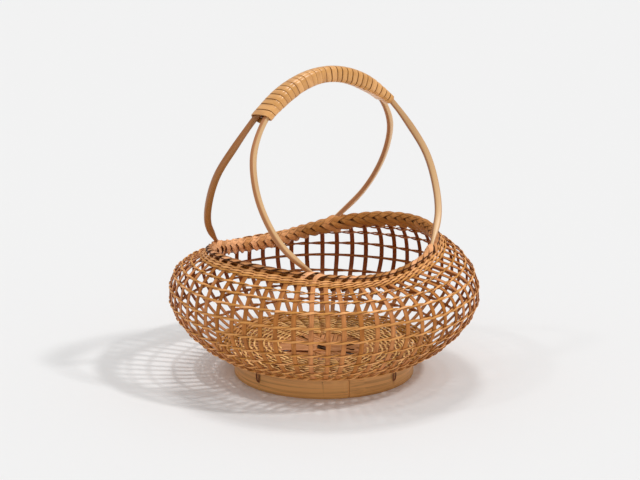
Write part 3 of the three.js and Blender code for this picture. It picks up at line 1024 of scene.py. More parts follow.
@dataclass
class FootRing(SubAssembly):
    """A bent bamboo ring with a scarfed lap, tied to the base through four holes.

    Attributes:
        clearance: Between two touching surfaces.
        lap_runout: Degrees in which the ring's wall comes back to its thickness after the lap.
        lap_tip: Thickness of each end's tip.
        tie_flatness: Thickness of the ties' cane, as a share of its width.
        peg_azimuth: Where a small hole for a peg is.
    """

    outer_radius: float = 83.0
    thickness: float = 3.0
    height: float = 18.8
    clearance: float = 0.3
    lap_azimuth: float = -114.0
    lap_angle: float = 9.0
    lap_runout: float = 3.0
    lap_tip: float = 0.7
    lap_steps: int = 8
    bend_steps: int = 174
    tie_azimuths: tuple[float, ...] = (-175.2, -80.8, 4.8, 99.2)
    hole_height: float = 7.8
    hole_diameter: float = 1.9
    hole_facets: int = 16
    tie_diameter: float = 1.25
    tie_flatness: float = 0.8
    tie_steps: int = 40
    peg_azimuth: float = -131.0
    peg_height: float = 15.6
    peg_diameter: float = 0.9

    def build(self) -> None:
        """Build and dress the ring and its ties."""
        self.build_ring()
        material = self.finishes.tie.material()
        for number, azimuth in enumerate(self.tie_azimuths, start=1):
            self.build_tie(number, azimuth, material)

    def ring_route(self) -> Route:
        """Bend the ring's strip round, with its scarfed ends lapped.

        Returns:
            The route from the strip's outer end to its inner end.
        """
        lap_end = self.lap_angle + self.lap_runout
        angle = np.concatenate(
            [
                np.linspace(0.0, lap_end, self.lap_steps, endpoint=False),
                np.linspace(lap_end, 360.0, self.bend_steps, endpoint=False),
                np.linspace(360.0, 360.0 + self.lap_angle, self.lap_steps),
            ]
        )
        inner = self.outer_radius - self.thickness
        slope = (self.thickness - self.clearance - 2 * self.lap_tip) / self.lap_angle
        tip = self.outer_radius - self.lap_tip
        inside = np.where(angle < self.lap_angle, tip - angle * slope, inner)
        runout = (angle >= self.lap_angle) & (angle < lap_end)
        end = tip - self.lap_angle * slope
        share = (angle - self.lap_angle) / self.lap_runout
        inside = np.where(runout, end + (inner - end) * share, inside)
        lapped = tip - (angle - 360.0) * slope - self.clearance
        outside = np.where(angle >= 360.0, lapped, self.outer_radius)
        radial = outward(self.lap_azimuth + angle)
        points = radial * ((inside + outside) / 2)[:, None] + UP * (self.height / 2)
        sides = np.broadcast_to(UP, points.shape)
        return Route(points, sides, radial, depth=(outside - inside) / self.thickness)

    def build_ring(self) -> None:
        """Bend the ring's strip, bore its holes and dress it."""
        stock = Stock(self.height, self.thickness, edge=0.45, facets=3)
        strip = self.bench.lay(stock, self.ring_route())
        ring = self.bench.gather("foot_ring_bent", [strip], self.finishes.ring.material())
        for azimuth in self.tie_azimuths:
            self.bore(ring, azimuth, self.hole_height, self.hole_diameter)
        self.bore(ring, self.peg_azimuth, self.peg_height, self.peg_diameter)
        settle(ring, "bent_bamboo_ring", "foot_ring")

    def bore(
        self, ring: bpy.types.Object, azimuth: float, height: float, diameter: float
    ) -> None:
        """Bore one hole through the ring's wall.

        Args:
            ring: The ring.
            azimuth: Where the hole is.
            height: Its height above the table.
            diameter: Its diameter.
        """
        bpy.ops.object.select_all(action="DESELECT")
        middle = outward(azimuth) * (self.outer_radius - self.thickness / 2) + UP * height
        bpy.ops.mesh.primitive_cylinder_add(
            vertices=self.hole_facets,
            radius=diameter / 2 * MM,
            depth=3 * self.thickness * MM,
            location=middle * MM,
            rotation=(0.0, math.pi / 2, math.radians(azimuth)),
        )
        drill = bpy.context.object
        cut_away(ring, drill)
        bpy.data.objects.remove(drill)

    def build_tie(self, number: int, azimuth: float, material: bpy.types.Material) -> None:
        """Tie the ring to the base: two legs outside that meet in the hole, and two inside.

        Args:
            number: The tie's number.
            azimuth: Where it is.
            material: The finish of its cane.
        """
        radial, across = outward(azimuth), outward(azimuth + 90.0)
        width, thickness = self.tie_diameter, self.tie_diameter * self.tie_flatness
        stock = Stock(width, thickness, StockShape.ROUND, facets=8)
        strips = []
        for end in (-1.0, 1.0):
            corners = [
                radial * out + across * side * end + UP * up for out, side, up in self.tie_leg()
            ]
            points = through(np.array(corners), self.tie_steps)
            run = heading(points)
            normals = unit(np.cross(run, across))
            strips.append(self.bench.lay(stock, Route(points, np.cross(normals, run), normals)))
        name = f"ring_tie_{number}"
        self.finish(f"{name}_cane", strips, material, "tie_cane", name, smooth_angle=80.0)

    def tie_leg(self) -> list[tuple[float, float, float]]:
        """Lead one leg of cane down outside the ring, through its hole and up inside.

        Returns:
            The leg's places: radius, distance to the side and height.
        """
        reach = self.clearance + self.tie_diameter / 2
        outer = self.outer_radius + reach
        inner = self.outer_radius - self.thickness - reach
        core = self.outer_radius - self.thickness / 2
        hole, top = self.hole_height, self.height
        return [
            (outer - 0.8, 1.3, top + 1.6),
            (outer, 1.6, top - 1.6),
            (outer + 0.15, 1.75, hole + 4.6),
            (outer, 1.3, hole + 1.7),
            (outer - 0.6, 0.5, hole + 0.1),
            (core, 0.35, hole),
            (inner + 0.6, 0.5, hole + 0.1),
            (inner, 0.9, hole + 1.6),
            (inner - 0.15, 1.15, hole + 4.0),
            (inner + 0.2, 1.3, top + 1.2),
        ]


# Splints, whose split ends are the stakes


@dataclass
class CrossedSplints(SubAssembly):
    """Four wide splints, crossed under the middle and split into the stakes of the wall.

    Attributes:
        stakes_per_pair: Stakes of one end of a wide splint and of a narrow one together.
        split_pitch: From stake to stake where they lie side by side.
        plate_half_length: From the middle to where the splints are split.
        plate_gap: How much narrower the whole middle is than its stakes.
        plate_thinning: How much thinner the whole middle is than its stakes.
        plate_overlap: How far the stakes reach into it.
        fan_radii: Places where they lie side by side.
        split_radius: Where each stake starts to point at its own place on the wall.
        flat_radii: Places on the way from there to the wall.
        layer_lead: How far inside the split radius the splints start to level out.
        layer_runout: How far outside it they are level.
        floor_thickness: Share of its thickness that a stake keeps in the floor.
        thickening: Share of the wall from which a stake has its full thickness.
        wall_swell: Shares of the wall between which a stake widens.
        slit_radii: Where the slits between stakes open, are open, close and are closed.
        slit_shares: The least and the most of a stake's width that a slit takes.
        wedges: Tip and butt of each wide slit, to the right of the middle and away from it, as
            the photograph shows them.
        wedge_azimuth: The way to the right in the photograph.
        hidden_end: How far below the rim a stake goes into the border.
        wander: How far a stake bends to the side on its way up.
    """

    count: int = 4
    stakes_per_pair: int = 15
    stake_width: float = 3.7
    thickness: float = 1.0
    split_pitch: float = 4.0
    plate_half_length: float = 7.0
    plate_gap: float = 0.3
    plate_thinning: float = 0.96
    plate_overlap: float = 1.0
    fan_radii: tuple[float, ...] = (14.0, 22.0, 30.0)
    split_radius: float = 38.2
    flat_radii: tuple[float, ...] = (52.0, 60.0, 68.0, 76.0)
    layer_pitch: float = 0.75
    layer_lead: float = 4.0
    layer_runout: float = 9.0
    base_steps: int = 22
    wall_steps: int = 46
    floor_thickness: float = 0.7
    thickening: float = 0.2
    wall_spread: float = 1.14
    wall_swell: tuple[float, float] = (0.1, 0.4)
    slit_radii: tuple[float, float, float, float] = (7.0, 15.0, 33.0, 40.0)
    slit_shares: tuple[float, float] = (0.02, 0.14)
    wedges: tuple[tuple[float, float, float, float], ...] = (
        (7.6, -7.3, -6.0, 1.0),
        (7.1, -17.7, -5.0, -5.0),
        (16.3, -3.5, 26.5, 5.5),
        (17.5, -5.0, 27.5, -11.5),
        (12.7, -12.0, 26.5, -21.0),
        (-14.2, 19.4, -22.0, 32.5),
        (-9.0, -4.0, -14.5, 3.0),
        (29.0, -4.6, 35.5, -8.0),
    )
    wedge_azimuth: float = -40.0
    wedge_width: float = 4.2
    hidden_end: float = 1.6
    wander: float = 0.3
    tones: tuple[float, float] = (0.1, 0.9)
    seed: int = 11

    def build(self) -> None:
        """Build and dress each splint with its stakes."""
        chance = np.random.default_rng(self.seed)
        material = self.finishes.stake.material()
        stock = Stock(self.stake_width, self.thickness, edge=0.28)
        chisel = self.chisel()
        for splint in range(self.count):
            level = self.shape.base_height + (splint - (self.count - 1) / 2) * self.layer_pitch
            direction = splint * 180.0 / self.count
            stakes = self.stakes_per_pair // 2 + (1 if splint % 2 == 0 else 0)
            strips = [self.plate(direction, level, stakes)]
            for half in (0.0, 180.0):
                for stake in range(stakes):
                    place = stake - (stakes - 1) / 2
                    route = self.stake_route(direction + half, place, level, chance)
                    strips.append(self.bench.lay(stock, route, chance.uniform(*self.tones)))
            # The faces that the wedges cut get tone 0, which the stake finish paints as near-black
            # shade.
            for strip in strips:
                cut_away(strip, chisel)
            name = f"splint_{splint + 1}"
            self.finish(f"{name}_stakes", strips, material, "stake_bamboo", f"split_{name}")
        bpy.data.objects.remove(chisel)

    def chisel(self) -> bpy.types.Object:
        """Make the wedges that open the crossing of the splints.

        Returns:
            All wedges as one cutter, each with its point towards its slit's tip.
        """
        bpy.ops.object.select_all(action="DESELECT")
        right, away = outward(self.wedge_azimuth), outward(self.wedge_azimuth + 90.0)
        wedges = []
        for inner_right, inner_away, outer_right, outer_away in self.wedges:
            tip = right * inner_right + away * inner_away
            butt = right * outer_right + away * outer_away
            length = float(np.linalg.norm(tip - butt))
            inward = (tip - butt) / length
            place = tip - inward * length * 2 / 3 + UP * self.shape.base_height
            turn = math.atan2(inward[1], inward[0]) - math.pi / 2
            bpy.ops.mesh.primitive_cylinder_add(
                vertices=3, radius=1.0, depth=10.0, location=place * MM, rotation=(0, 0, turn)
            )
            wedge = bpy.context.object
            wedge.scale = np.array([self.wedge_width / math.sqrt(3), length / 1.5, 1.0]) * MM
            wedges.append(wedge)
        for wedge in wedges:
            wedge.select_set(True)
        bpy.ops.object.join()
        bpy.ops.object.transform_apply(location=True, rotation=True, scale=True)
        return bpy.context.object

    def plate(self, direction: float, level: float, stakes: int) -> bpy.types.Object:
        """Lay the whole middle of a splint.

        Args:
            direction: The splint's azimuth.
            level: Height of its middle.
            stakes: How many stakes it is split into at each end.

        Returns:
            The strip.
        """
        along = np.linspace(-self.plate_half_length, self.plate_half_length, 12)
        points = outward(direction) * along[:, None] + UP * level
        sides = np.broadcast_to(outward(direction + 90.0), points.shape)
        normals = np.broadcast_to(UP, points.shape)
        width = stakes * self.split_pitch - self.plate_gap
        thickness = self.thickness * self.floor_thickness * self.plate_thinning
        return self.bench.lay(Stock(width, thickness, edge=0.2), Route(points, sides, normals), 0.6)

    def stake_route(
        self, direction: float, place: float, level: float, chance: np.random.Generator
    ) -> Route:
        """Lead one stake from the middle of the splint to the rim.

        Args:
            direction: The splint's azimuth at this end.
            place: The stake's place from the middle of the splint, in stakes.
            level: Height of the splint's middle.
            chance: Source of the small uneven bends of hand work.

        Returns:
            The route, with its skin side down under the base and outside on the wall.
        """
        azimuth = direction + place * self.shape.stake_angle
        base = self.floor_line(direction, azimuth, place, level)
        radius = np.hypot(base[:, 0], base[:, 1])
        share = np.linspace(0.0, self.shape.crest_share(self.hidden_end), self.wall_steps)
        bends = self.wander * chance.uniform(-1.0, 1.0, 3)
        waves = np.sin(share[:, None] * math.pi / 2 * np.array([1.0, 2.0, 3.0])) @ bends
        wall, _, normal = self.shape.frame(azimuth + waves, share)
        points = np.vstack([base, wall])
        run = heading(points)
        sides = unit(np.cross(run, np.vstack([np.broadcast_to(-UP, base.shape), normal])))
        opening, open_at, closing, closed = self.slit_radii
        slit = smoothstep(radius, opening, open_at) * (1.0 - smoothstep(radius, closing, closed))
        split = 1.0 - chance.uniform(*self.slit_shares) * slit
        swell = 1.0 + (self.wall_spread - 1.0) * smoothstep(share, *self.wall_swell)
        thinned = np.full(len(base), self.floor_thickness)
        regained = (1.0 - self.floor_thickness) * smoothstep(share, 0.0, self.thickening)
        return Route(
            points,
            sides,
            unit(np.cross(sides, run)),
            spread=np.concatenate([split, swell]),
            depth=np.concatenate([thinned, self.floor_thickness + regained]),
        )

    def floor_line(
        self, direction: float, azimuth: float, place: float, level: float
    ) -> np.ndarray:
        """Lead a stake through the floor, from its splint's layer to the level of the base.

        Args:
            direction: The splint's azimuth at this end.
            azimuth: The stake's own azimuth on the wall.
            place: The stake's place from the middle of the splint, in stakes.
            level: Height of the splint's middle.

        Returns:
            The stake's middle line.
        """
        shift = outward(direction + 90.0) * place * self.split_pitch
        start = self.plate_half_length - self.plate_overlap
        corners = [outward(direction) * radius + shift for radius in (start, *self.fan_radii)]
        level_radius = self.split_radius + self.layer_runout
        for radius in (self.split_radius, level_radius, *self.flat_radii):
            corners.append(outward(azimuth) * radius)
        line = through(np.array(corners), self.base_steps)
        radius = np.hypot(line[:, 0], line[:, 1])
        settled = smoothstep(radius, self.split_radius - self.layer_lead, level_radius)
        line[:, 2] = level + (self.shape.base_height - level) * settled
        return line


# Woven rows


@dataclass(frozen=True)
class TwinedRow:
    """Fine strands that wind past the stakes: a pair that twines, or one that weaves alone.

    Attributes:
        stock: Section of each strand.
        swing_out: From the middle of the stakes to the middle of a strand as it passes one.
        swing_up: From the row's middle to the middle of a strand as the two cross.
        supports: How many stakes, or groups of stakes, one round passes.
        steps: Places along each half turn.
        overlap: How many of these steps the end of a strand runs past its start.
        pinch: How much of its width a strand loses between the supports.
        sway: How far a strand leans between two supports, in radians.
        first_support: Azimuth of the first support.
        strand_count: Two strands that twine, or one that weaves over and under.
        press: Power that flattens a strand's way round a support.
        taper: Shares of its size at a strand's last places.
    """

    stock: Stock
    swing_out: float
    swing_up: float
    supports: int
    steps: int = 8
    overlap: int = 6
    pinch: float = 0.45
    sway: float = 0.35
    first_support: float = 3.0
    strand_count: int = 2
    press: float = 0.7
    taper: tuple[float, ...] = (0.9, 0.8, 0.7)

    def strands(
        self,
        bench: StripBench,
        frame_at: Callable[[np.ndarray], Frames],
        phase: float,
        chance: np.random.Generator,
    ) -> list[bpy.types.Object]:
        """Lay the strands of a row.

        Args:
            bench: Lays the strands.
            frame_at: Gives places, the way up and the way out at azimuths.
            phase: Half turns by which this row starts later than its neighbour.
            chance: Source of the strands' tones and starts.

        Returns:
            The strands.
        """
        half_turn = 360.0 / self.supports
        skipped = int(chance.integers(self.supports))
        start = self.first_support + half_turn * skipped + half_turn / 2
        places = self.supports * self.steps + self.overlap + 1
        azimuth = start + np.arange(places) * half_turn / self.steps
        points, up, normal = frame_at(azimuth)
        turn = math.pi * ((azimuth - self.first_support) / half_turn + phase)
        ending = np.ones(places)
        ending[-len(self.taper) :] = self.taper
        strands = []
        for twist in (turn, turn + math.pi)[: self.strand_count]:
            swing = self.swing_out * flattened(np.cos(twist), self.press)
            lift = self.swing_up * np.sin(twist)
            middle = points + normal * swing[:, None] + up * lift[:, None]
            run = heading(middle)
            roll = self.sway * np.sin(twist)
            skin = square_to(run, normal * np.cos(roll)[:, None] + up * np.sin(roll)[:, None])
            spread = ending * (1.0 - self.pinch * np.sin(twist) ** 2)
            route = Route(middle, np.cross(skin, run), skin, spread=spread, depth=ending)
            strands.append(bench.lay(self.stock, route, chance.uniform(0.0, 1.0)))
        return strands


@dataclass
class FloorWeave(SubAssembly):
    """The close rounds of the base: over pairs of stakes inside, and single stakes outside.
    """

    pair_start: float = 40.6
    pair_pitch: float = 2.25
    pair_rounds: int = 14
    single_start: float = 72.2
    single_pitch: float = 2.4
    single_rounds: int = 6
    seed: int = 23

    def build(self) -> None:
        """Weave and dress the rounds, each with one strand, over where its neighbours go under."""
        chance = np.random.default_rng(self.seed)
        material = self.finishes.floor.material()
        pairs = TwinedRow(
            Stock(2.1, 0.8, edge=0.22),
            swing_out=1.15,
            swing_up=-0.8,
            supports=self.shape.stakes // 2,
            steps=12,
            pinch=0.3,
            first_support=0.0,
            strand_count=1,
        )
        singles = TwinedRow(
            Stock(2.0, 0.8, edge=0.22),
            swing_out=1.05,
            swing_up=-0.5,
            supports=self.shape.stakes,
            pinch=0.3,
            strand_count=1,
        )
        pair_radii = self.pair_start + self.pair_pitch * np.arange(self.pair_rounds)
        single_radii = self.single_start + self.single_pitch * np.arange(self.single_rounds)
        nodes = ("base_weave_upper", "base_weave_lower")
        for name, row, radii, smooth_angle in (
            ("floor_rounds_inner", pairs, pair_radii, 60.0),
            ("floor_rounds_outer", singles, single_radii, 80.0),
        ):
            strips: list[bpy.types.Object] = []
            for index, radius in enumerate(radii):
                frame_at = partial(self.frame_at, radius)
                strips += row.strands(self.bench, frame_at, index % 2, chance)
            self.finish(name, strips, material, "base_bamboo", *nodes, smooth_angle=smooth_angle)

    def frame_at(self, radius: float, azimuth: np.ndarray) -> Frames:
        """Find places on a round of the floor.

        Args:
            radius: The round's radius.
            azimuth: Where round it.

        Returns:
            The places, the way outwards and the way up.
        """
        radial = outward(azimuth)
        points = radial * radius + UP * self.shape.base_height
        return points, radial, np.broadcast_to(UP, points.shape)


@dataclass
class WallWeave(SubAssembly):
    """The twined rows of the wall: a base band, eight open rows and a close rim band.

    Attributes:
        thick_below: Share of the wall below which the open rows are as thick as the base band.
        row_wander: How far a row strays up and down, as a share of the wall.
        waves: How often it strays on its way round.
        wave_shift: How far chance turns each of these waves, in radians.
    """

    base_band: tuple[float, ...] = (0.07, 0.116, 0.161, 0.206, 0.25)
    open_rows: tuple[float, ...] = (0.44, 0.617, 0.771, 0.944, 1.085, 1.246, 1.413, 1.586)
    thick_below: float = 0.5
    rim_depths: tuple[float, ...] = (7.1, 9.9, 12.7)
    row_wander: float = 0.006
    waves: tuple[float, ...] = (2.0, 3.0, 7.0, 11.0)
    wave_shift: float = 3.0
    seed: int = 31

    def build(self) -> None:
        """Build and dress each row."""
        chance = np.random.default_rng(self.seed)
        material = self.finishes.weaver.material()
        fine = TwinedRow(Stock(2.2, 0.85, edge=0.24), 1.05, 0.6, self.shape.stakes)
        thick = TwinedRow(Stock(2.5, 1.1, edge=0.3), 1.12, 0.65, self.shape.stakes)
        close = TwinedRow(Stock(2.3, 0.85, edge=0.22), 1.0, 0.55, self.shape.stakes)
        strips: list[bpy.types.Object] = []
        for index, share in enumerate(self.base_band):
            strips += thick.strands(self.bench, self.row_at(share, chance), index % 2, chance)
        self.finish_row("base_band", strips, material, "wall_weaver_1")
        for index, share in enumerate(self.open_rows, start=2):
            row = thick if share < self.thick_below else fine
            strips = row.strands(self.bench, self.row_at(share, chance), index % 2, chance)
            self.finish_row(f"wall_row_{index}", strips, material, f"wall_weaver_{index}")
        for index, depth in enumerate(self.rim_depths, start=1):
            frame_at = self.row_at(self.shape.crest_share(depth), None)
            strips = close.strands(self.bench, frame_at, index % 2, chance)
            self.finish_row(f"rim_row_{index}", strips, material, f"rim_weaver_{index}")

    def finish_row(
        self,
        name: str,
        strips: Sequence[bpy.types.Object],
        material: bpy.types.Material,
        node: str,
    ) -> None:
        """Join a row's strands, with only their cut ends sharp, and fix them to the basket."""
        self.finish(name, strips, material, "weaver_bamboo", node, smooth_angle=80.0)

    def row_at(
        self, share: float, chance: np.random.Generator | None
    ) -> Callable[[np.ndarray], Frames]:
        """Describe a row on the wall.

        Args:
            share: The row's share of the wall.
            chance: Source of its uneven way, or None for an even one.

        Returns:
            A function that gives its places, the way up the wall and the way out of it.
        """
        count = len(self.waves)
        bends = np.zeros(count) if chance is None else chance.uniform(-1.0, 1.0, count)
        return partial(self.frame_at, share, bends)

    def frame_at(self, share: float, bends: np.ndarray, azimuth: np.ndarray) -> Frames:
        """Find places on a row of the wall.

        Args:
            share: The row's share of the wall.
            bends: How far it strays with each of its waves.
            azimuth: Where round the wall.

        Returns:
            The places, the way up the wall and the way out of it.
        """
        angle = np.radians(azimuth)[:, None] * np.array(self.waves)
        wave = np.sin(angle + bends * self.wave_shift) @ (bends * self.row_wander)
        return self.shape.frame(azimuth, share + wave)


# Plaited border


@dataclass
class PlaitedBorder(SubAssembly):
    """The folded ends of the stakes: slanting strands over the rim that meet a plait inside it.

    Attributes:
        section: The border's section as places out of the wall and below the rim, from its outer
            edge over the crest to the lower edge of its inner face.
        over_path: Way of a strand over the crest: shares of its way, lengths along the section
            and turns round the rim.
        over_tuck: How deep its end is tucked in.
        over_narrow: Share of its width at its start.
        over_tilt: How far its upper edge stands up from its neighbour.
        over_edges: How much of the finish's painted edge shade it shows.
        plait_start: Where a strand of the inner face starts: length along the section and turn.
        plait_lift: How high it lies over the section.
        plait_tucks: How deep its two ends are tucked in below that.
        plait_narrow: Share of its width at its start.
        plait_taper: Share of its width that it loses at its end.
        core_stock: Section of the flat hoops that close the border under the strands; their dark
            inner side shows between the strands as painted shade.
        core_runs: Lengths along the section where the hoops lie.
        bulge: How far strands stand out over the feet of the handle.
        painted_shade_azimuth: Middle of the stretch where the strands carry the most painted shade,
            for the shade on that stretch of the border.
        painted_shade_angle: How far that stretch reaches either way.
        painted_shade_share: How much lightness the strands lose there.
    """

    section: tuple[tuple[float, float], ...] = (
        (0.9, 7.0),
        (1.5, 4.6),
        (1.7, 2.2),
        (0.8, 0.75),
        (-1.2, 0.3),
        (-3.3, 0.9),
        (-4.6, 2.6),
        (-4.9, 6.0),
        (-4.9, 15.5),
    )
    over_stock: Stock = Stock(6.0, 0.8, edge=0.25)
    over_path: tuple[tuple[float, float, float], ...] = (
        (0.0, 0.0, 0.0),
        (0.16, 3.2, 0.3),
        (0.32, 5.0, 2.0),
        (0.6, 7.4, 6.4),
        (0.85, 9.8, 10.2),
        (1.0, 12.4, 14.0),
    )
    over_arch: float = 0.6
    over_tuck: float = 0.9
    over_narrow: float = 0.64
    over_tilt: float = 6.0
    over_edges: float = 0.84
    plait_stock: Stock = Stock(6.2, 0.85, edge=0.25)
    plait_start: tuple[float, float] = (10.6, 13.4)
    plait_end: tuple[float, float] = (21.2, 3.0)
    plait_lift: float = 0.6
    plait_tucks: tuple[float, float] = (0.9, 1.1)
    plait_narrow: float = 0.5
    plait_taper: float = 0.2
    plait_tilt: float = 15.0
    core_stock: Stock = Stock(8.0, 0.8, edge=0.25)
    core_runs: tuple[float, ...] = (7.4, 12.0, 16.6)
    core_depth: float = 1.7
    jitter: float = 0.3
    bulge: float = 1.9
    bulge_angle: float = 4.2
    # Painted shade over the stretch of the border that lies in shade
    painted_shade_azimuth: float = 5.0
    painted_shade_angle: float = 42.0
    painted_shade_share: float = 0.85
    seed: int = 43

    def build(self) -> None:
        """Build and dress the border."""
        chance = np.random.default_rng(self.seed)
        strips = []
        for stake in range(self.shape.stakes):
            azimuth = self.shape.stake_angle * (stake + 0.5)
            # Painted shade darkens the strands on the stretch between the two feet at the +X end.
            tone = chance.uniform(0.0, 1.0) * self.painted_shade(azimuth)
            over, plaited = azimuth + chance.uniform(-self.jitter, self.jitter, 2)
            strips.append(self.over_strand(over, tone))
            slip = chance.uniform(-self.jitter, self.jitter)
            strips.append(self.plait_strand(plaited, tone, slip))
        strips.extend(self.core_hoop(run) for run in self.core_runs)
        material = self.finishes.border.material()
        self.finish("border_plait", strips, material, "border_bamboo", "plaited_border")

    @cached_property
    def section_line(self) -> np.ndarray:
        """The section as a smooth line: distance out of the wall, 0, and depth below the rim."""
        return through(np.array([(out, 0.0, depth) for out, depth in self.section]), 200)

    def surface(self, azimuth: np.ndarray, run: np.ndarray) -> np.ndarray:
        """Find places on the border's surface.

        Args:
            azimuth: Where round the rim.
            run: Length along the section.

        Returns:
            The places.
        """
        out, _, depth = places_along(self.section_line, run).T
        points, up, normal = self.shape.frame(azimuth, np.full_like(azimuth, 2.0))
        return points + normal * out[:, None] - up * depth[:, None]

    def facing(self, azimuth: np.ndarray, run: np.ndarray) -> tuple[np.ndarray, np.ndarray]:
        """Find directions on the border's surface.

        Args:
            azimuth: Where round the rim.
            run: Length along the section.

        Returns:
            The way over the crest and inwards, and the way out of the surface.
        """
        reach = 0.2
        around = self.surface(azimuth + reach, run) - self.surface(azimuth - reach, run)
        over = self.surface(azimuth, run + reach) - self.surface(azimuth, run - reach)
        return unit(over), unit(np.cross(around, over))

    def strand_route(
        self,
        azimuth: np.ndarray,
        run: np.ndarray,
        lift: np.ndarray,
        spread: np.ndarray,
        tilt: float,
    ) -> Route:
        """Lead a strand over the border's surface.

        Args:
            azimuth: Where round the rim it is at each place.
            run: Length along the section at each place.
            lift: How far the strand lies above the surface at each place.
            spread: Share of the stock's width at each place.
            tilt: How far the strand's upper edge stands up from its neighbour.

        Returns:
            The route, with the strand's skin outwards.
        """
        skin = self.facing(azimuth, run)[1]
        points = self.surface(azimuth, run) + skin * (lift + self.foot_bulge(azimuth))[:, None]
        forward = heading(points)
        sides = unit(np.cross(forward, skin))
        flat = unit(np.cross(sides, forward))
        lean = math.radians(tilt)
        tilted = sides * math.cos(lean) + flat * math.sin(lean)
        return Route(points, tilted, unit(np.cross(tilted, forward)), spread=spread)

    def painted_shade(self, azimuth: float) -> float:
        """Return how much of a strand's lightness the painted shade leaves there."""
        away = angle_between(azimuth, self.painted_shade_azimuth) / self.painted_shade_angle
        return 1.0 - self.painted_shade_share * math.exp(-(away**4))

    def foot_bulge(self, azimuth: np.ndarray) -> np.ndarray:
        """Return how far the strands stand out there, over the feet of the handle."""
        away = angle_between(azimuth[:, None], self.shape.foot_azimuths.ravel())
        return self.bulge * np.exp(-((away / self.bulge_angle) ** 2)).sum(axis=1)

    def core_hoop(self, run: float) -> bpy.types.Object:
        """Lay one flat hoop under the strands, where the stakes' tucked ends close the border,
        inside out and at tone 0 as painted shade in the gaps.

        Args:
            run: Length along the section where it lies.

        Returns:
            The hoop.
        """
        azimuth = np.linspace(0.0, 360.0, 181)
        runs = np.full_like(azimuth, run)
        over, skin = self.facing(azimuth, runs)
        points = self.surface(azimuth, runs) - skin * self.core_depth
        # Inside out and at tone 0, so that its dark inner side shows between the strands as painted
        # shade.
        return self.bench.lay(self.core_stock, Route(points, -over, -skin), 0.0)

    def over_strand(self, azimuth: float, tone: float) -> bpy.types.Object:
        """Lay one stake's end, which rises outside the rim and passes over its crest.

        Args:
            azimuth: Where it starts.
            tone: Its tone.

        Returns:
            The strand.
        """
        share = np.linspace(0.0, 1.0, 20)
        stages, runs, turns = np.array(self.over_path).T
        run = self.eased(np.interp(share, stages, runs))
        turned = self.eased(np.interp(share, stages, turns))
        arch = self.over_arch * np.sin(math.pi * share)
        lift = arch - self.over_tuck * smoothstep(share, 0.84, 1.0)
        spread = self.over_narrow + (1.0 - self.over_narrow) * smoothstep(share, 0.3, 0.7)
        route = self.strand_route(azimuth + turned, run, lift, spread, self.over_tilt)
        return self.bench.lay(self.over_stock, route, tone, self.over_edges)

    @staticmethod
    def eased(steps: np.ndarray) -> np.ndarray:
        """Round the corners of a row of values, with both ends kept."""
        padded = np.concatenate([[2 * steps[0] - steps[1]], steps, [2 * steps[-1] - steps[-2]]])
        return (padded[:-2] + 2 * padded[1:-1] + padded[2:]) / 4

    def plait_strand(self, azimuth: float, tone: float, slip: float) -> bpy.types.Object:
        """Lay one strand of the inner face, slanting down from the crest.

        Args:
            azimuth: The stake's azimuth, behind which it starts.
            tone: Its tone.
            slip: How far down it has slipped.

        Returns:
            The strand.
        """
        share = np.linspace(0.0, 1.0, 16)
        (start_run, start_turn), (end_run, end_turn) = self.plait_start, self.plait_end
        run = start_run + (end_run - start_run) * share + slip
        turned = start_turn + (end_turn - start_turn) * share
        first_tuck, last_tuck = self.plait_tucks
        lift = self.plait_lift - first_tuck * (1.0 - smoothstep(share, 0.0, 0.15))
        lift -= last_tuck * smoothstep(share, 0.8, 1.0)
        spread = self.plait_narrow + (1.0 - self.plait_narrow) * smoothstep(share, 0.0, 0.32)
        spread -= self.plait_taper * smoothstep(share, 0.85, 1.0)
        route = self.strand_route(azimuth + turned, run, lift, spread, self.plait_tilt)
        return self.bench.lay(self.plait_stock, route, tone)


# Handle


class StripLevel(Enum):
    """Which handle strip lies on top in the grip, as the side of its middle that it is on."""

    UPPER = 1.0
    LOWER = -1.0


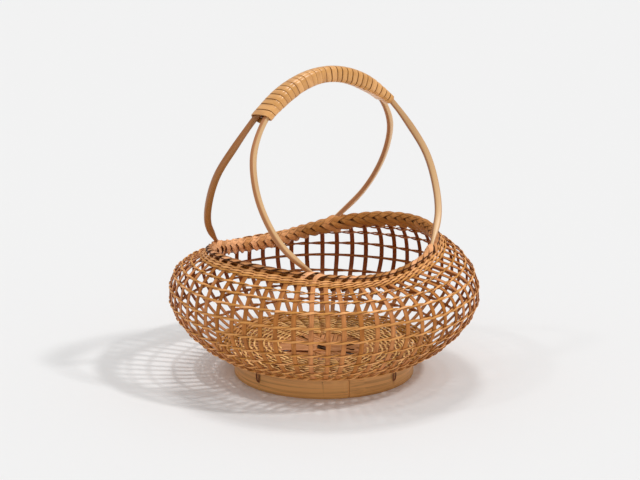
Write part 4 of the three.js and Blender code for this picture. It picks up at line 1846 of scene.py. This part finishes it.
@dataclass
class ArchedHandle(SubAssembly):
    """Two bamboo strips that cross under a cane wrap and end in the border.

    Attributes:
        strip_thickness: Thickness of a strip's branches.
        foot_thickness: Thickness of its pared feet.
        swell: Shares of the way to a foot between which it thickens.
        paring: Shares of the way to a foot between which it is pared.
        grip_half_length: From the middle of the grip to its end.
        grip_sag: How much lower that end is.
        end_spread: How far to the side of the middle each strip is there.
        stack_offset: How far one lies above the middle of the grip and one below, at the top.
        stacked_share: Share of the grip where they start to come level.
        foot_out: How far outside the wall's middle a foot goes down.
        foot_depth: How far below the rim it reaches.
        branch_bow: How far out, and to the side, a branch bows from a straight line at equal steps.
        wrap_end_margin: What stays bare at each end of the grip.
        wrap_squareness: Power under one that squares the wrap's oval section.
        wrap_unevenness: How far a turn is wider or narrower than the others, as a share.
        wrap_looseness: How far a turn stands out or in.
        wrap_line: Usual gap between two turns.
        wrap_lines: The least and the most of it, as shares.
    """

    strip_width: float = 4.6
    strip_thickness: float = 6.4
    grip_thickness: float = 5.0
    foot_thickness: float = 3.2
    swell: tuple[float, float] = (0.38, 0.5)
    paring: tuple[float, float] = (0.9, 0.98)
    strip_steps: int = 181
    grip_half_length: float = 72.8
    grip_top: float = 277.7
    grip_sag: float = 30.5
    end_spread: float = 6.8
    stack_offset: float = 2.65
    stacked_share: float = 0.6
    foot_out: float = 0.6
    foot_depth: float = 4.0
    branch_bow: tuple[tuple[float, float], ...] = (
        (18.9, -5.2),
        (28.5, -4.4),
        (28.8, -3.9),
        (20.9, -2.2),
    )
    upper_tones: tuple[float, ...] = (0.15, 0.15, 0.4, 0.5, 0.6)
    lower_tones: tuple[float, ...] = (0.5, 0.6, 0.55, 0.8, 0.8)
    wrap_turns: int = 27
    wrap_steps: int = 32
    wrap_thickness: float = 1.15
    wrap_end_margin: float = 0.5
    wrap_side_room: float = 1.3
    wrap_top_room: float = 1.1
    wrap_squareness: float = 0.62
    wrap_unevenness: float = 0.1
    wrap_looseness: float = 0.12
    wrap_line: float = 0.3
    wrap_lines: tuple[float, float] = (0.3, 2.0)
    seed: int = 59

    def build(self) -> None:
        """Build and dress the strips and the wrap."""
        material = self.finishes.strip.material()
        stock = Stock(self.strip_width, self.strip_thickness, edge=1.7, facets=5)
        for level, tones in (
            (StripLevel.UPPER, self.upper_tones),
            (StripLevel.LOWER, self.lower_tones),
        ):
            route = self.strip_route(level)
            share = np.linspace(0.0, 1.0, len(route.points))
            tone = np.interp(share, np.linspace(0.0, 1.0, len(tones)), tones)
            name = f"handle_strip_{level.name.lower()}"
            strips = [self.bench.lay(stock, route, tone)]
            self.finish(f"{name}_bent", strips, material, "handle_bamboo", name, smooth_angle=60.0)
        route, width = self.wrap_route()
        stock = Stock(width, self.wrap_thickness, edge=0.42, facets=3)
        turn = np.linspace(0.0, self.wrap_turns, len(route.points))
        tones = np.random.default_rng(self.seed).uniform(0.0, 1.0, self.wrap_turns + 1)
        strips = [self.bench.lay(stock, route, tones[turn.astype(int)])]
        material = self.finishes.cane.material()
        self.finish("cane_wrap", strips, material, "wrap_cane", "handle_wrap", smooth_angle=60.0)

    def offset(self, along: np.ndarray) -> np.ndarray:
        """Return how far a strip lies above or below the middle of the grip."""
        share = np.abs(along) / self.grip_half_length
        return self.stack_offset * (1.0 - smoothstep(share, self.stacked_share, 1.0))

    def strip_line(self, level: StripLevel) -> np.ndarray:
        """Draw the middle line of one strip from foot to foot.

        Args:
            level: Which strip it is.

        Returns:
            Places along it.
        """
        foot_azimuth = self.shape.foot_azimuth
        rim = self.shape.place(np.array(foot_azimuth), np.array(2.0))
        rim_radius = math.hypot(rim[0], rim[1]) + self.foot_out
        foot = outward(foot_azimuth) * rim_radius + UP * rim[2]
        grip_end = np.array([self.grip_half_length, self.end_spread, self.grip_top - self.grip_sag])
        bows = np.array([*self.branch_bow, (0.0, 0.0)])
        share = np.arange(1, len(bows) + 1)[:, None] / len(bows)
        branch = grip_end + (foot - grip_end) * share
        branch[:, :2] += bows
        along = np.linspace(-1.0, 1.0, 11) * self.grip_half_length
        aside = -level.value * self.end_spread * along / self.grip_half_length
        arch = self.grip_top - self.grip_sag * (along / self.grip_half_length) ** 2
        grip = np.stack([along, aside, arch + level.value * self.offset(along)], axis=1)
        left = branch[::-1] * np.array([-1.0, level.value, 1.0])
        right = branch * np.array([1.0, -level.value, 1.0])
        return through(np.vstack([left, grip, right]), self.strip_steps)

    def strip_route(self, level: StripLevel) -> Route:
        """Lead one strip from foot to foot, its side turned along the rim.

        Args:
            level: Which strip it is.

        Returns:
            The route.
        """
        points = self.strip_line(level)
        run = heading(points)
        plan = points.copy()
        middle = len(points) // 2
        plan[middle] = points[middle + 1]
        sides = np.stack([-plan[:, 1], plan[:, 0], np.zeros(len(plan))], axis=1)
        sides = square_to(run, sides * np.sign(plan[:, :1]))
        way = np.abs(np.linspace(-1.0, 1.0, len(points)))
        branch_thickness = self.strip_thickness - self.grip_thickness
        thickness = self.grip_thickness + branch_thickness * smoothstep(way, *self.swell)
        thickness += (self.foot_thickness - thickness) * smoothstep(way, *self.paring)
        points[0] -= run[0] * self.foot_depth
        points[-1] += run[-1] * self.foot_depth
        return Route(points, sides, np.cross(run, sides), depth=thickness / self.strip_thickness)

    def grip_line(self) -> np.ndarray:
        """Draw the middle line of the grip.

        Returns:
            Places close together along it.
        """
        share = np.linspace(0.0, 1.0, 2001)[:, None]
        end = np.array([self.grip_half_length, 0.0, self.grip_top - self.grip_sag])
        start = end * np.array([-1.0, 1.0, 1.0])
        top = np.array([0.0, 0.0, self.grip_top + self.grip_sag])
        return (1 - share) ** 2 * start + 2 * share * (1 - share) * top + share**2 * end

    def wrap_route(self) -> tuple[Route, float]:
        """Wind the cane round both strips.

        Returns:
            The route, and the width of the stock that the cane is cut from.
        """
        chance = np.random.default_rng(self.seed)
        line = self.grip_line()
        marks = np.arange(self.wrap_turns + 1)
        turn = np.linspace(0.0, self.wrap_turns, self.wrap_turns * self.wrap_steps + 1)
        narrowest, widest = 1.0 - self.wrap_unevenness, 1.0 + self.wrap_unevenness
        widths = chance.uniform(narrowest, widest, self.wrap_turns)
        uneven = np.concatenate([[0.0], np.cumsum(widths)])
        uneven = np.interp(turn, marks, uneven / uneven[-1])
        wound = walked(line)[-1] - 2 * self.wrap_end_margin
        middle = places_along(line, self.wrap_end_margin + wound * uneven)
        run = heading(middle)
        loose = chance.uniform(-self.wrap_looseness, self.wrap_looseness, self.wrap_turns + 1)
        wide, high = self.wrap_oval(middle, np.interp(turn, marks, loose))
        upward = unit(np.cross(np.array([0.0, -1.0, 0.0]), run))
        places, above = [], []
        for shift in (-0.02, 0.0, 0.02):
            across, over = self.wound(wide, high, (turn - 0.25 + shift) % 1.0)
            places.append(middle + over[:, None] * upward + across[:, None] * np.eye(3)[1])
            above.append(over)
        before, points, after = places
        bend = np.linalg.norm(np.gradient(run, axis=0), axis=1)
        bend /= np.linalg.norm(np.gradient(middle, axis=0), axis=1)
        pitch = wound * np.gradient(uneven) * self.wrap_steps * (1.0 + bend * above[1])
        width = float(pitch.max())
        gaps = self.wrap_line * chance.uniform(*self.wrap_lines, self.wrap_turns + 1)
        pitch -= np.interp(turn, marks, gaps)
        normals = unit(np.cross(unit(after - before), run))
        return Route(points, run, normals, spread=pitch / width), width

    def wrap_oval(
        self, middle: np.ndarray, loose: np.ndarray
    ) -> tuple[np.ndarray, np.ndarray]:
        """Measure the oval that the cane follows round the strips.

        Args:
            middle: Places along the grip.
            loose: How far the cane stands out there.

        Returns:
            Half the oval's width and half its height at each place.
        """
        spread = self.end_spread * np.abs(middle[:, 0]) / self.grip_half_length
        half = self.wrap_thickness / 2 + loose
        wide = spread + self.strip_width / 2 + self.wrap_side_room + half
        high = self.offset(middle[:, 0]) + self.grip_thickness / 2 + self.wrap_top_room + half
        return wide, high

    def squared_oval(
        self, wide: np.ndarray, high: np.ndarray, angle: np.ndarray
    ) -> tuple[np.ndarray, np.ndarray]:
        """Return how far across and how far up places at these angles of the ovals are."""
        across = wide * flattened(np.cos(angle), self.wrap_squareness)
        return across, high * flattened(np.sin(angle), self.wrap_squareness)

    def wound(
        self, wide: np.ndarray, high: np.ndarray, share: np.ndarray
    ) -> tuple[np.ndarray, np.ndarray]:
        """Walk round the wrap's squared ovals at an even pace.

        Args:
            wide: Half the width of the oval at each place.
            high: Half its height.
            share: Share of the oval's length walked there.

        Returns:
            How far across and how far up the cane is at each place.
        """
        table = np.linspace(0.0, 2 * math.pi, 241)
        around, above = self.squared_oval(wide, high, table[:, None])
        length = np.hypot(np.diff(around, axis=0), np.diff(above, axis=0)).cumsum(axis=0)
        length = np.vstack([np.zeros(len(wide)), length / length[-1]])
        angle = [np.interp(part, length[:, index], table) for index, part in enumerate(share)]
        return self.squared_oval(wide, high, np.array(angle))


# Studio


@dataclass(frozen=True)
class Lamp:
    """One large soft light, so far off that it lights the floor evenly.

    Attributes:
        azimuth: Where it hangs round the basket.
        height: How high it hangs above the floor, in degrees.
        softness: How wide it looks from the basket, in degrees.
    """

    name: str
    azimuth: float
    height: float
    strength: float
    softness: float

    def hang(self) -> None:
        """Hang the lamp, pointed at the basket."""
        rise = math.radians(self.height)
        place = Vector(outward(self.azimuth)) * math.cos(rise) + Vector((0, 0, math.sin(rise)))
        bpy.ops.object.light_add(type="SUN", location=place)
        lamp = bpy.context.object
        lamp.name = self.name
        lamp.data.energy = self.strength
        lamp.data.angle = math.radians(self.softness)
        lamp.rotation_euler = (-place).to_track_quat("-Z", "Y").to_euler()


@dataclass
class Studio:
    """The camera of the photograph, a pale floor, and soft light from all sides.

    Attributes:
        distance: From the camera to the basket's foot, in metres.
        facing: Azimuth in which the camera looks.
        yaw: How far it is turned to the left of the basket's foot.
        pitch: How far it looks down.
        farthest: How far it sees, in metres.
        ambient: Strength of the even light from all round.
    """

    distance: float = 2.0
    elevation: float = 18.606
    facing: float = 50.0
    yaw: float = 0.1124
    pitch: float = 15.163
    lens: float = 121.04
    sensor_width: float = 36.0
    farthest: float = 50.0
    floor_size: float = 24.0
    floor_colour: str = "efefef"
    lamps: tuple[Lamp, ...] = (
        Lamp("key", azimuth=-60.0, height=50.0, strength=1.02, softness=5.0),
        Lamp("fill", azimuth=155.0, height=50.0, strength=0.18, softness=5.0),
        Lamp("top", azimuth=50.0, height=72.0, strength=0.75, softness=14.0),
    )
    ambient: float = 0.518

    def build(self) -> None:
        """Build the camera, the floor, the lights and the world."""
        self.place_camera()
        self.lay_floor()
        for lamp in self.lamps:
            lamp.hang()
        self.fill_world()

    def place_camera(self) -> None:
        """Set the camera up as the photograph was taken."""
        level = math.radians(self.elevation)
        place = -Vector(outward(self.facing)) * self.distance * math.cos(level)
        place.z = self.distance * math.sin(level)
        turn = math.radians(self.facing + self.yaw - 90.0)
        tilt = math.radians(90.0 - self.pitch)
        bpy.ops.object.camera_add(location=place, rotation=Euler((tilt, 0.0, turn)))
        camera = bpy.context.object
        camera.name = "photo_camera"
        camera.data.sensor_width = self.sensor_width
        camera.data.lens = self.lens
        camera.data.clip_end = self.farthest
        bpy.context.scene.camera = camera

    def lay_floor(self) -> None:
        """Lay a wide pale floor that keeps the basket's soft shadow."""
        bpy.ops.mesh.primitive_plane_add(size=self.floor_size)
        floor = bpy.context.object
        floor.name = "studio_floor"
        # Matt white paper: even, without a gleam
        material = empty_material("matt_paper")
        paper = add_node(
            material,
            "ShaderNodeBsdfPrincipled",
            Base_Color=colour(self.floor_colour),
            Roughness=0.9,
            Specular_IOR_Level=0.1,
        )
        add_node(material, "ShaderNodeOutputMaterial", Surface=paper.outputs["BSDF"])
        floor.data.materials.append(material)

    def fill_world(self) -> None:
        """Fill the shade with even white light."""
        world = bpy.data.worlds.new("white_studio")
        world.use_nodes = True
        backdrop = world.node_tree.nodes["Background"]
        backdrop.inputs["Color"].default_value = (1.0, 1.0, 1.0, 1.0)
        backdrop.inputs["Strength"].default_value = self.ambient
        bpy.context.scene.world = world
        bpy.context.scene.view_settings.view_transform = "Standard"


def main() -> None:
    """Build the studio and every piece of the basket in order."""
    logging.basicConfig(level=logging.INFO, format="%(name)s: %(message)s")
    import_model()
    Studio().build()
    bench, finishes, shape = StripBench(), BasketFinishes(), BodyShape()
    for section in (
        FootRing,
        CrossedSplints,
        FloorWeave,
        WallWeave,
        PlaitedBorder,
        ArchedHandle,
    ):
        section(bench, finishes, shape).build()


if __name__ == "__main__":
    main()
